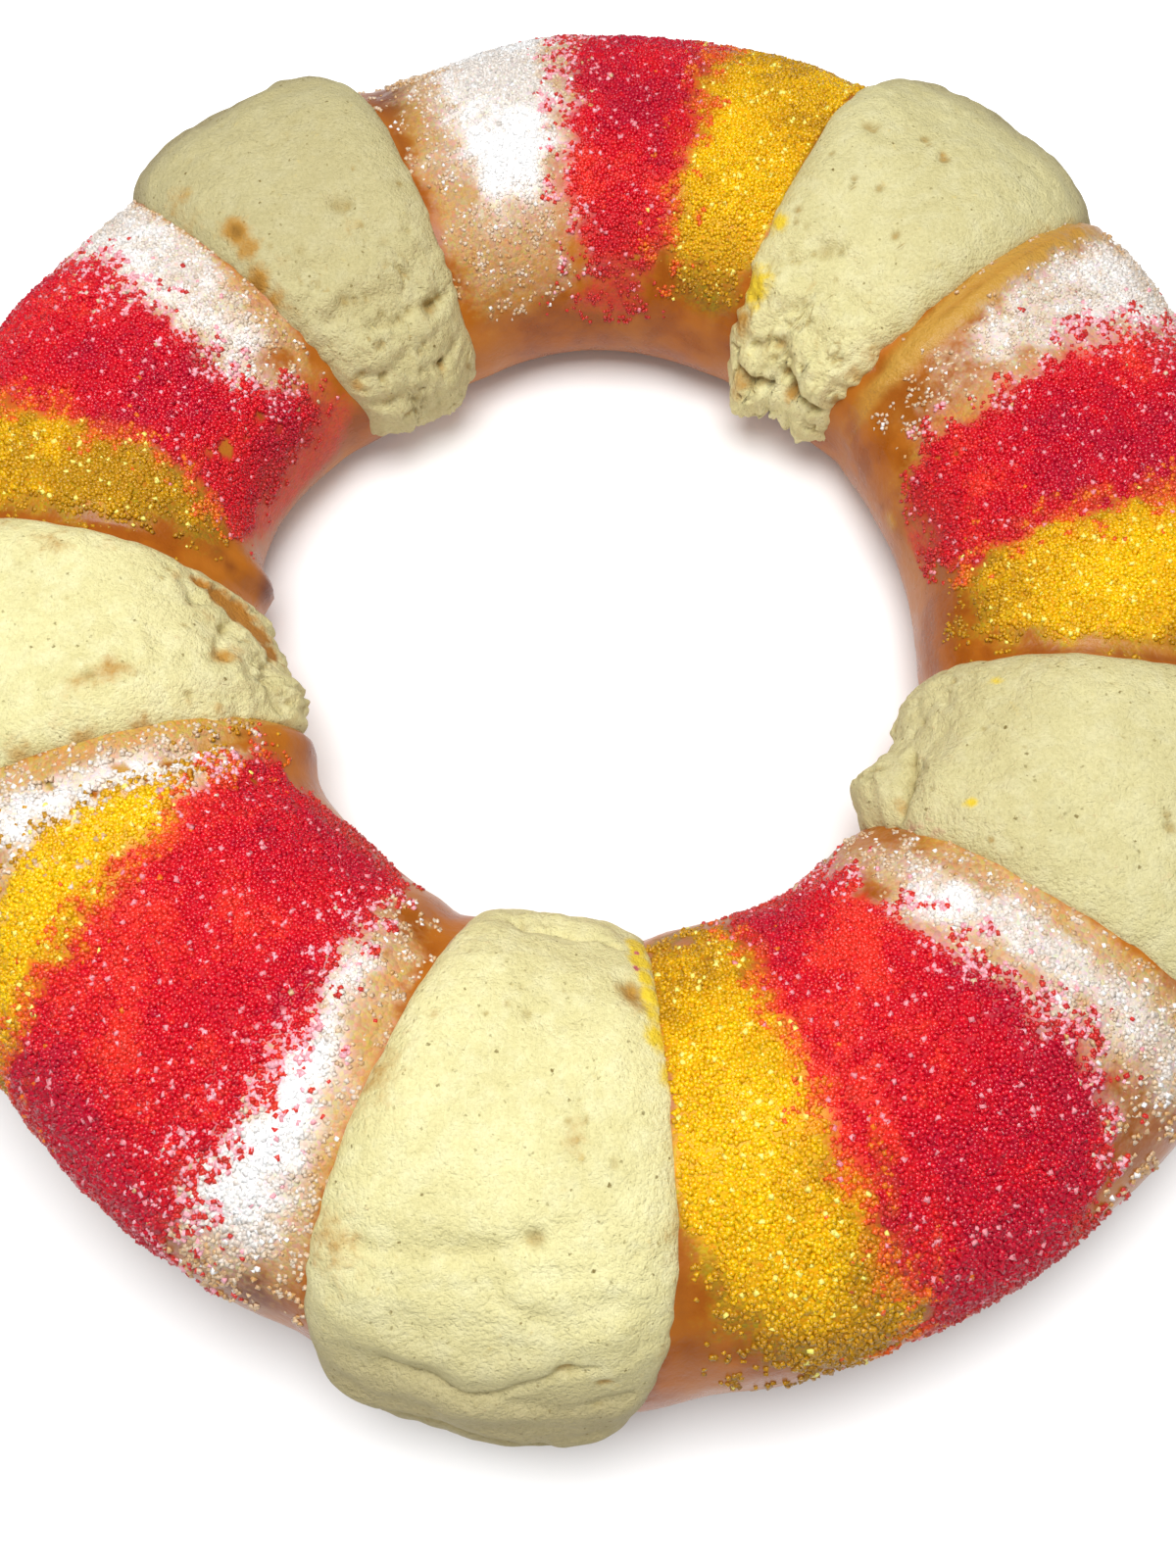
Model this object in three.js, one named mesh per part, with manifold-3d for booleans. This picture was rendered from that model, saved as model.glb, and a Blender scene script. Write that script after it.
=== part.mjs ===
// King cake: a ring of egg-washed sweet bread, five strips of pale sugar paste laid across it,
// and bands of coarse coloured sugar on the bare bread between the strips.
//
// Millimetres, +Z up. The origin is on the surface that the cake stands on, under the middle of
// its outline. A place on the cake is given by two angles in degrees: "around" goes round the
// ring, anticlockwise from +X as seen from above, and "over" goes over the bread from the outer
// side (0) across the crest (90) to the side of the hole (180) and on underneath to 360.
import * as THREE from 'three';
import { mergeVertices } from 'three/addons/utils/BufferGeometryUtils.js';
import { ParametricGeometry } from 'three/addons/geometries/ParametricGeometry.js';
import Module from 'manifold-3d';

// ---------------------------------------------------------------- driving dimensions

const RING_CENTRE = [-2.48, 1.27];    // the middle of the hole, from the middle of the outline
const CREST_HEIGHT = 46;              // top of the bread
const WIDEST_HEIGHT = 18;             // height at which the bread is widest
const FOOT_SHARE = 0.5;               // flat foot's half width as a share of the bread's half width
const FOOT_STARTS = 58;               // degrees below the equator where the side meets the foot

// Radii of the hole and of the outer side, at each strip and half way between strips.
const STATIONS = [
  { around: 12, hole: 69.6, outer: 141.0 },
  { around: 50, hole: 70.8, outer: 148.4 },
  { around: 86, hole: 74.0, outer: 144.6 },
  { around: 122.5, hole: 65.6, outer: 143.2 },
  { around: 156, hole: 69.2, outer: 137.2 },
  { around: 190, hole: 61.6, outer: 134.0 },
  { around: 226, hole: 60.2, outer: 135.3 },
  { around: 264.5, hole: 63.8, outer: 141.8 },
  { around: 299, hole: 67.4, outer: 143.3 },
  { around: 335, hole: 69.0, outer: 145.5 },
];

// Low lumps and hollows of the crust: where, how far they spread, and how high they stand.
const CRUST_LUMPS = [
  { around: 171.6, over: 176, spread: [3.4, 26], rise: 4.0 },  // square ear beside the left strip
  { around: 206.5, over: 168, spread: [4.2, 24], rise: 4.4 },  // round lobe on its other side
  { around: 216, over: 150, spread: [5, 30], rise: -1.2 },     // hollow beyond the lobe
  { around: 105, over: 24, spread: [8, 46], rise: -3.2 },      // pinch before the back left strip
  { around: 141, over: 20, spread: [6, 46], rise: -1.8 },      // and a slighter one beyond it
  { around: 36, over: 95, spread: [1.3, 62], rise: 1.7 },      // torn ridge along the back right
  { around: 246, over: 120, spread: [5, 30], rise: 1.2 },      // shoulder before the front strip
  { around: 287, over: 140, spread: [8, 26], rise: 1.3 },      // swelling after the front strip
  { around: 206.8, over: 112, spread: [1.6, 42], rise: -1.5 }, // split in the crust by the lobe
];

const NECK_DEPTH = 1.3;               // the bread is drawn in beside each strip
const NECK_SPREAD = 3.2;              // degrees
const WAVINESS = 0.55;                // soft unevenness of the crust

const PASTE_THICK = 3.4;
const PASTE_GAP = 0.35;               // between a strip's underside and the bread
const PASTE_REACH = 1.2;              // a strip's shell reaches this far into the crust, to be cut by it
const PASTE_WAVINESS = 0.4;
const CORNER_DROP = 5;                // degrees over the bread that a strip's corners stop short
const END_WANDER = 3;                 // degrees that its torn inner end wanders

// Sugar paste strips. Edges are the two "around" angles at the outer side (over 25), the crest
// (over 90) and the hole's side (over 155); ends are the "over" angles where a strip stops.
const STRIPS = [
  {
    name: 'paste_front', ends: [-14, 179],
    edges: { outer: [251.6, 274.6], crest: [250, 278.4], hole: [253.4, 280.2] },
    lumps: [
      { around: 269, over: 162, spread: [8, 8], rise: 1.8 },     // lip curled over the inner end
      { around: 269, over: 148, spread: [8, 3.5], rise: -1.7 },  // crack behind the lip
      { around: 264, over: 62, spread: [9, 5], rise: 0.8 },      // wrinkles down the outer side
      { around: 262, over: 46, spread: [9, 5], rise: 1.0 },
      { around: 264, over: 30, spread: [8, 4], rise: 0.9 },
      { around: 263, over: 4, spread: [9, 7], rise: 1.6 },       // fold along the foot
    ],
  },
  {
    name: 'paste_right', ends: [-8, 182],
    edges: { outer: [323, 347], crest: [321.2, 348.4], hole: [320.4, 348.2] },
    lumps: [
      { around: 325, over: 170, spread: [5, 11], rise: 4.6 },    // flap at the inner end
      { around: 326, over: 148, spread: [5, 3.5], rise: -1.6 },  // crack behind the flap
      { around: 338, over: 128, spread: [6, 14], rise: 0.9 },
    ],
  },
  {
    name: 'paste_back_right', ends: [-6, 194],
    edges: { outer: [37.6, 60.6], crest: [38.2, 62.8], hole: [39.8, 62.8] },
    lumps: [
      { around: 57, over: 186, spread: [4, 16], rise: 4.2 },     // knob hanging into the hole
      { around: 44, over: 158, spread: [3.5, 8], rise: 1.6 },
      { around: 49, over: 163, spread: [3, 4], rise: -1.8 },
      { around: 54, over: 30, spread: [9, 24], rise: 0.9 },
    ],
  },
  {
    name: 'paste_back_left', ends: [-8, 200],
    edges: { outer: [112, 134.8], crest: [110.2, 135.6], hole: [108.6, 133.4] },
    lumps: [
      { around: 115, over: 180, spread: [5, 16], rise: 1.6 },
      { around: 126, over: 152, spread: [5, 7], rise: 1.2 },
      { around: 120, over: 141, spread: [8, 4], rise: -1.1 },
      { around: 120.5, over: 188, spread: [3, 12], rise: -1.8 },
      { around: 122, over: 118, spread: [8, 5], rise: -0.6 },
    ],
  },
  {
    name: 'paste_left', ends: [-6, 184],
    edges: { outer: [174.4, 201.4], crest: [174.2, 201.6], hole: [177, 203.4] },
    lumps: [
      { around: 200, over: 172, spread: [7, 12], rise: 5.0 },    // crumbled end by the lobe
      { around: 178.5, over: 170, spread: [2.5, 10], rise: 2.6 },
      { around: 182, over: 155, spread: [4, 10], rise: -1.4 },   // worn thin near the ear
      { around: 186, over: 140, spread: [5, 6], rise: -0.8 },
    ],
  },
];
const EDGE_LEVELS = { outer: 25, crest: 90, hole: 155 };

// Bands of sugar between the strips, by their two "around" angles at the crest.
const SUGAR_BANDS = [
  { colour: 'white', from: 28, to: 34.5 }, { colour: 'yellow', from: 64.5, to: 75 },
  { colour: 'red', from: 77, to: 89.5 }, { colour: 'white', from: 93, to: 103 },
  { colour: 'white', from: 138.5, to: 144 }, { colour: 'red', from: 146, to: 161 },
  { colour: 'yellow', from: 163, to: 170.5 }, { colour: 'white', from: 203.8, to: 209 },
  { colour: 'yellow', from: 210.5, to: 217.5 }, { colour: 'red', from: 219, to: 242 },
  { colour: 'white', from: 244, to: 248.2 }, { colour: 'yellow', from: 280.5, to: 291 },
  { colour: 'red', from: 292.5, to: 311 }, { colour: 'white', from: 313.5, to: 318.8 },
  { colour: 'yellow', from: 351, to: 365 }, { colour: 'red', from: 366.5, to: 384 },
];
const BAND_OVER = { from: 22, to: 142 };  // how far down each side the sugar lies
const SUGAR_DEPTH = 0.8;              // packed sugar stands this far off the crust
const BAND_FADE = [1.2, 14];          // degrees over which a band thins out, around and over
const CRYSTAL_SIZES = [1.3, 1.9];     // edges of the largest crystals
const CRYSTAL_SPACING = 1.42;         // degrees of band for each crystal
const CRYSTAL_SUNK = 0.5;             // share of a crystal below the sugar's surface
const CRYSTAL_SEED = 20;

const RING_STEPS = { around: 111, over: 26 };
const PASTE_STEPS = { across: 8, over: 24 };

// ---------------------------------------------------------------- small helpers

const radians = THREE.MathUtils.degToRad;
const lerp = THREE.MathUtils.lerp;
const smoothstep = THREE.MathUtils.smoothstep;

// Signed power, for the rounded-square section.
function power(value, exponent) {
  return Math.sign(value) * Math.abs(value) ** exponent;
}

// The smallest turn from one angle to another, in degrees.
function turn(from, to) {
  return THREE.MathUtils.euclideanModulo(to - from + 180, 360) - 180;
}

// A smooth closed curve through one measure of all stations, with the stations' own spacing.
function stationValue(around, measure) {
  const count = STATIONS.length;
  const angle = THREE.MathUtils.euclideanModulo(around - STATIONS[0].around, 360);
  const offset = (i) => STATIONS[i % count].around - STATIONS[0].around + 360 * Math.floor(i / count);
  let i = 0;
  while (offset(i + 1) <= angle) i += 1;
  const value = (k) => STATIONS[(k + count) % count][measure];
  const place = (k) => (k < 0 ? offset(k + count) - 360 : offset(k));
  const slope = (k) => (value(k + 1) - value(k - 1)) / (place(k + 1) - place(k - 1));
  const span = place(i + 1) - place(i);
  const t = (angle - place(i)) / span;
  const rise = value(i + 1) - value(i);
  const bend = (1 - t) * (slope(i) * span - rise) + t * (rise - slope(i + 1) * span);
  return value(i) + t * rise + t * (1 - t) * bend;
}

// Sum of gaussian lumps at a place.
function lumpHeight(lumps, around, over) {
  let height = 0;
  for (const lump of lumps) {
    const a = turn(lump.around, around) / lump.spread[0];
    const b = turn(lump.over, over) / lump.spread[1];
    height += lump.rise * Math.exp(-a * a - b * b);
  }
  return height;
}

// Hand-made unevenness: a few long waves that close round the ring, between -1 and 1.
function waves(around, over, phase) {
  const a = radians(around);
  const b = radians(over);
  return (Math.sin(11 * a + 3 * b + phase) + Math.sin(17 * a - 4 * b + 2 * phase)
    + Math.sin(7 * a + 6 * b - phase)) / 3;
}

// ---------------------------------------------------------------- the bread's surface

// How deep in the packed sugar a place is, from 0 on bare crust to 1 inside a band.
function sugarCover(around, over) {
  const rise = smoothstep(over, BAND_OVER.from - BAND_FADE[1], BAND_OVER.from + BAND_FADE[1]);
  const fall = smoothstep(over, BAND_OVER.to - BAND_FADE[1], BAND_OVER.to + BAND_FADE[1]);
  let cover = 0;
  for (const band of SUGAR_BANDS) {
    const half = (band.to - band.from) / 2;
    const off = Math.abs(turn((band.from + band.to) / 2, around));
    cover = Math.max(cover, 1 - smoothstep(off, half - BAND_FADE[0], half + BAND_FADE[0]));
  }
  return cover * rise * (1 - fall);
}

function neckDepth(around) {
  let depth = 0;
  for (const strip of STRIPS) {
    for (const edge of strip.edges.crest) {
      depth += NECK_DEPTH * Math.exp(-((turn(edge, around) / NECK_SPREAD) ** 2));
    }
  }
  return depth;
}

// Point of the plain section in the upright plane at "around": [distance from the axis, height].
function sectionPoint(around, over) {
  const hole = stationValue(around, 'hole');
  const outer = stationValue(around, 'outer');
  const half = (outer - hole) / 2;
  const middle = (outer + hole) / 2;
  const angle = THREE.MathUtils.euclideanModulo(over, 360);
  if (angle <= 180) {
    const up = Math.max(0, Math.sin(radians(angle)));
    const height = WIDEST_HEIGHT + (CREST_HEIGHT - WIDEST_HEIGHT) * power(up, 0.95);
    return [middle + half * power(Math.cos(radians(angle)), 0.9), height];
  }
  const side = angle < 270 ? -1 : 1;
  const below = angle < 270 ? angle - 180 : 360 - angle;
  const foot = FOOT_SHARE * half;
  if (below >= FOOT_STARTS) {
    return [middle + side * foot * (90 - below) / (90 - FOOT_STARTS), 0];
  }
  const bend = radians(90 * below / FOOT_STARTS);
  const reach = foot + (half - foot) * power(Math.cos(bend), 0.9);
  return [middle + side * reach, WIDEST_HEIGHT * (1 - power(Math.sin(bend), 0.9))];
}

// A point that stands "rise" off the plain section, square to it.
function ringPoint(around, over, rise, target) {
  const step = 0.5;
  const [reach, height] = sectionPoint(around, over);
  const ahead = sectionPoint(around, over + step);
  const behind = sectionPoint(around, over - step);
  const along = new THREE.Vector2(ahead[0] - behind[0], ahead[1] - behind[1]).normalize();
  const distance = reach + rise * along.y;
  const lifted = height - rise * along.x;
  const angle = radians(around);
  const x = RING_CENTRE[0] + distance * Math.cos(angle);
  const y = RING_CENTRE[1] + distance * Math.sin(angle);
  return target.set(x, y, Math.max(0, lifted));
}

// Relief of the crust. It dies away underneath, so that the foot stays flat.
function crustRelief(around, over) {
  const angle = THREE.MathUtils.euclideanModulo(over, 360);
  const below = angle > 180 ? Math.min(angle - 180, 360 - angle) : 0;
  const share = 1 - smoothstep(below, 0, FOOT_STARTS * 0.7);
  const relief = lumpHeight(CRUST_LUMPS, around, over) + WAVINESS * waves(around, over, 0.7)
    - neckDepth(around);
  return share * relief;
}

// The surface of the bread with its packed sugar, or one grown outwards all over.
function breadSurface(growth) {
  return (u, v, target) => {
    const around = 360 * (u % 1);
    const over = 360 * (v % 1);
    const rise = crustRelief(around, over) + SUGAR_DEPTH * sugarCover(around, over);
    ringPoint(around, over, rise + growth, target);
  };
}

// ---------------------------------------------------------------- solids

function closedGeometry(geometry) {
  geometry.deleteAttribute('normal');
  geometry.deleteAttribute('uv');
  return mergeVertices(geometry, 1e-3);
}

function toManifold(wasm, geometry) {
  const vertProperties = new Float32Array(geometry.attributes.position.array);
  const triVerts = new Uint32Array(geometry.index.array);
  return new wasm.Manifold(new wasm.Mesh({ numProp: 3, vertProperties, triVerts }));
}

function fromManifold(solid) {
  const mesh = solid.getMesh();
  const geometry = new THREE.BufferGeometry();
  geometry.setAttribute('position', new THREE.Float32BufferAttribute(mesh.vertProperties, mesh.numProp));
  geometry.setIndex(Array.from(mesh.triVerts));
  return geometry;
}

// Repeatable random numbers between 0 and 1.
function seededRandom(seed) {
  let state = seed;
  return () => {
    state = (state + 0x6d2b79f5) | 0;
    let t = Math.imul(state ^ (state >>> 15), 1 | state);
    t = (t + Math.imul(t ^ (t >>> 7), 61 | t)) ^ t;
    return ((t ^ (t >>> 14)) >>> 0) / 4294967296;
  };
}

// One sugar crystal: a small block, tilted any way and partly sunk in the sugar.
function crystalGeometry(around, over, random) {
  const size = () => lerp(CRYSTAL_SIZES[0], CRYSTAL_SIZES[1], random());
  const sides = [size(), size(), size()];
  const block = new THREE.BoxGeometry(...sides);
  const spin = new THREE.Euler(Math.PI * random(), Math.PI * random(), Math.PI * random());
  block.applyMatrix4(new THREE.Matrix4().makeRotationFromEuler(spin));
  const surface = crustRelief(around, over) + SUGAR_DEPTH * sugarCover(around, over);
  const lift = surface + Math.min(...sides) * (0.5 - CRYSTAL_SUNK);
  const place = ringPoint(around, over, lift, new THREE.Vector3());
  block.translate(place.x, place.y, place.z);
  return closedGeometry(block);
}

// The largest crystals, spread evenly over the bands: steps along a band, and the golden ratio
// over the bread, so that no two lie together.
function crystalPlaces() {
  const golden = 0.618034;
  const places = [];
  for (const band of SUGAR_BANDS) {
    const count = Math.round((band.to - band.from) / CRYSTAL_SPACING);
    for (let i = 0; i < count; i += 1) {
      const around = lerp(band.from, band.to, (i + 0.5) / count);
      const over = lerp(BAND_OVER.from, BAND_OVER.to, ((i + places.length + 1) * golden) % 1);
      places.push([around, over]);
    }
  }
  return places;
}

function crustSolid(wasm, growth) {
  const { around, over } = RING_STEPS;
  const surface = new ParametricGeometry(breadSurface(growth), around, over);
  return toManifold(wasm, closedGeometry(surface));
}

function breadGeometry(wasm) {
  const random = seededRandom(CRYSTAL_SEED);
  let solid = crustSolid(wasm, 0);
  for (const [around, over] of crystalPlaces()) {
    solid = solid.add(toManifold(wasm, crystalGeometry(around, over, random)));
  }
  return fromManifold(solid);
}

// The two edge angles of a strip at a height on the bread: a parabola through its three levels.
function stripEdges(strip, over) {
  const { outer, crest, hole } = EDGE_LEVELS;
  const level = THREE.MathUtils.clamp(over, outer - 20, hole + 20);
  return [0, 1].map((side) => {
    const { edges } = strip;
    return edges.outer[side] * (level - crest) * (level - hole) / ((outer - crest) * (outer - hole))
      + edges.crest[side] * (level - outer) * (level - hole) / ((crest - outer) * (crest - hole))
      + edges.hole[side] * (level - outer) * (level - crest) / ((hole - outer) * (hole - crest));
  });
}

// A place on a strip, for s across it and t along it, both from 0 to 1. The corners are rounded
// and the ends wander, as a torn edge of paste does.
function stripPlace(strip, s, t) {
  const corner = Math.abs(2 * s - 1) ** 3;
  const wander = END_WANDER * Math.sin(9 * s + strip.edges.crest[0]);
  const over = lerp(strip.ends[0] + CORNER_DROP * corner, strip.ends[1] - CORNER_DROP * corner + wander, t);
  const [low, high] = stripEdges(strip, over);
  return [lerp(low, high, s), over];
}

// Full thickness inside and rounded off to nothing at the rim.
function pasteThickness(strip, s, t, around, over) {
  const across = 1 - Math.abs(2 * s - 1) ** 5;
  const along = 1 - Math.abs(2 * t - 1) ** 14;
  const rim = Math.sqrt(Math.max(0, across * along));
  const relief = lumpHeight(strip.lumps, around, over) + PASTE_WAVINESS * waves(around, over, 2.1);
  return rim * (PASTE_REACH + PASTE_GAP + PASTE_THICK + relief);
}

// Steps that crowd towards both ends, so that the rims come out round.
function crowded(t) {
  return lerp(t, 0.5 - 0.5 * Math.cos(Math.PI * t), 0.75);
}

// A strip's shell: its section runs over the top from edge to edge and back inside the crust.
function pasteSurface(strip) {
  return (u, v, target) => {
    const top = u < 0.5;
    const s = crowded(top ? 2 * u : 2 - 2 * u);
    const t = crowded(v);
    const [around, over] = stripPlace(strip, s, t);
    const thickness = top ? pasteThickness(strip, s, t, around, over) : 0;
    ringPoint(around, over, crustRelief(around, over) - PASTE_REACH + thickness, target);
  };
}

// What lies outside the crust and the gap is the strip, so its underside fits the bread.
function pasteGeometry(wasm, strip, crustWithGap) {
  const { across, over } = PASTE_STEPS;
  const shell = closedGeometry(new ParametricGeometry(pasteSurface(strip), 2 * across, over));
  return fromManifold(toManifold(wasm, shell).subtract(crustWithGap));
}

// ---------------------------------------------------------------- materials and the cake

function breadMaterial() {
  return new THREE.MeshStandardMaterial({ color: 0xc07a35, roughness: 0.38, metalness: 0 });
}

function pasteMaterial() {
  return new THREE.MeshStandardMaterial({ color: 0xefe6b4, roughness: 0.85, metalness: 0 });
}

function namedMesh(name, geometry, material) {
  const mesh = new THREE.Mesh(geometry, material);
  mesh.name = name;
  return mesh;
}

const wasm = await Module();
wasm.setup();

const kingCake = new THREE.Group();
kingCake.add(namedMesh('bread_ring', breadGeometry(wasm), breadMaterial()));
const crustWithGap = crustSolid(wasm, PASTE_GAP);
for (const strip of STRIPS) {
  kingCake.add(namedMesh(strip.name, pasteGeometry(wasm, strip, crustWithGap), pasteMaterial()));
}

export default kingCake;
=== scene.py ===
"""King cake: the looks of the bread, its strips of sugar paste and its coloured sugar.

A place on the cake is given by two angles in degrees: "around" goes round the ring,
anticlockwise from +X as seen from above, and "over" goes over the bread from the outer side (0)
across the crest (90) to the side of the hole (180) and on underneath to 360. Shapes are worked
out in millimetres and placed in metres.
"""

import math

import bpy
import numpy as np
from mathutils import Euler, Matrix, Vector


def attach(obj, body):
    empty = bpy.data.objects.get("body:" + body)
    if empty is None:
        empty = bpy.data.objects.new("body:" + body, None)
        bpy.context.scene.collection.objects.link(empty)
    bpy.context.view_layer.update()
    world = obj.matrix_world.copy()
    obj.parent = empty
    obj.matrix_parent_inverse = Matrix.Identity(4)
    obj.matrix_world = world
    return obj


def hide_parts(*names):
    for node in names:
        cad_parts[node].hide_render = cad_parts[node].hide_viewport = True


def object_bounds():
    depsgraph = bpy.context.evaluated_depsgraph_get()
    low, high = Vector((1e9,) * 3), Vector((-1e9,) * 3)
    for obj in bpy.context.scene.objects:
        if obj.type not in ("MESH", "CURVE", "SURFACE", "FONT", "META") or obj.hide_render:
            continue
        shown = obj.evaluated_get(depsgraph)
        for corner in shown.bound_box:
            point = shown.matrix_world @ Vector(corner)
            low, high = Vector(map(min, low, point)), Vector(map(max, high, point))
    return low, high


bl_info = {
    "name": "King cake",
    "version": (1, 0, 0),
    "blender": (4, 5, 0),
    "location": "View3D > Sidebar > King cake",
    "description": "Bread ring with strips of sugar paste and bands of coloured sugar",
    "category": "Add Mesh",
}

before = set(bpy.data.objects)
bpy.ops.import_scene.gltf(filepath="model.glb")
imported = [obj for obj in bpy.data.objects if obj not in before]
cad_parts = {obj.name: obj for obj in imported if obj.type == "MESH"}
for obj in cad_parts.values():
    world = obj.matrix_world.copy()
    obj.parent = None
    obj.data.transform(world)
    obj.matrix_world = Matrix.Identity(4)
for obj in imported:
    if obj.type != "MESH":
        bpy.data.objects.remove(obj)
CAD_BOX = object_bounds()

MM = 0.001
BOX_MM = [np.array(corner) / MM for corner in CAD_BOX]

# ------------------------------------------------------------------ the part's own dimensions

RING_CENTRE = (-2.48, 1.27)
CREST_HEIGHT = 46.0
WIDEST_HEIGHT = 18.0
CREST_ROUNDNESS = 0.95      # exponents of the rounded section, which is an ellipse at 1
SIDE_ROUNDNESS = 0.9
FOOT_SHARE = 0.5            # width of the flat foot, as a share of the bread's
FOOT_STARTS = 58.0          # degrees under the widest line where the flat foot starts
FOOT_BLEND = 0.7            # share of them over which the relief fades out

# around, radius of the hole, radius of the outer side
STATIONS = np.array([
    (12, 69.6, 141.0), (50, 70.8, 148.4), (86, 74.0, 144.6), (122.5, 65.6, 143.2),
    (156, 69.2, 137.2), (190, 61.6, 134.0), (226, 60.2, 135.3), (264.5, 63.8, 141.8),
    (299, 67.4, 143.3), (335, 69.0, 145.5),
])

# around, over, spread around, spread over, rise
CRUST_LUMPS = (
    (171.6, 176, 3.4, 26, 4.0), (206.5, 168, 4.2, 24, 4.4), (216, 150, 5, 30, -1.2),
    (105, 24, 8, 46, -3.2), (141, 20, 6, 46, -1.8), (36, 95, 1.3, 62, 1.7), (246, 120, 5, 30, 1.2),
    (287, 140, 8, 26, 1.3), (206.8, 112, 1.6, 42, -1.5),
)
NECK_DEPTH = 1.3            # how far the bread is drawn in beside a strip
NECK_SPREAD = 3.2
WAVINESS = 0.55
# waves round the ring, waves over the bread, share of the phase
WAVES = ((11, 3, 1), (17, -4, 2), (7, 6, -1))
CRUST_PHASE = 0.7
PASTE_PHASE = 2.1

PASTE_GAP = 0.35
PASTE_REACH = 1.2           # how far a strip's rim and underside lie within the crust
UNDERSIDE = 0.6             # how far the closed underside lies below them
PASTE_WAVINESS = 0.4
CORNER_DROP = 5             # degrees that a strip's corners draw back
CORNER_SHARPNESS = 3
END_WANDER = 3              # degrees that its inner end wanders, and how many times
END_WAVES = 9
EDGE_LEVELS = (25, 90, 155)
EDGE_BEYOND = 20            # degrees past the outer levels that its edges still bend
STRIP_WIDTH = 47.0
STRIP_LENGTH = 90.0
PASTE_EDGE = (-0.2, 0.5)    # degrees within its edge over which it keeps the sugar out

# millimetres for a degree around and a degree over, near the crest
AROUND_MM = 1.85
OVER_MM = 0.62
NEARBY = 40.0               # degrees around past which a crease or a band has no effect

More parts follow.
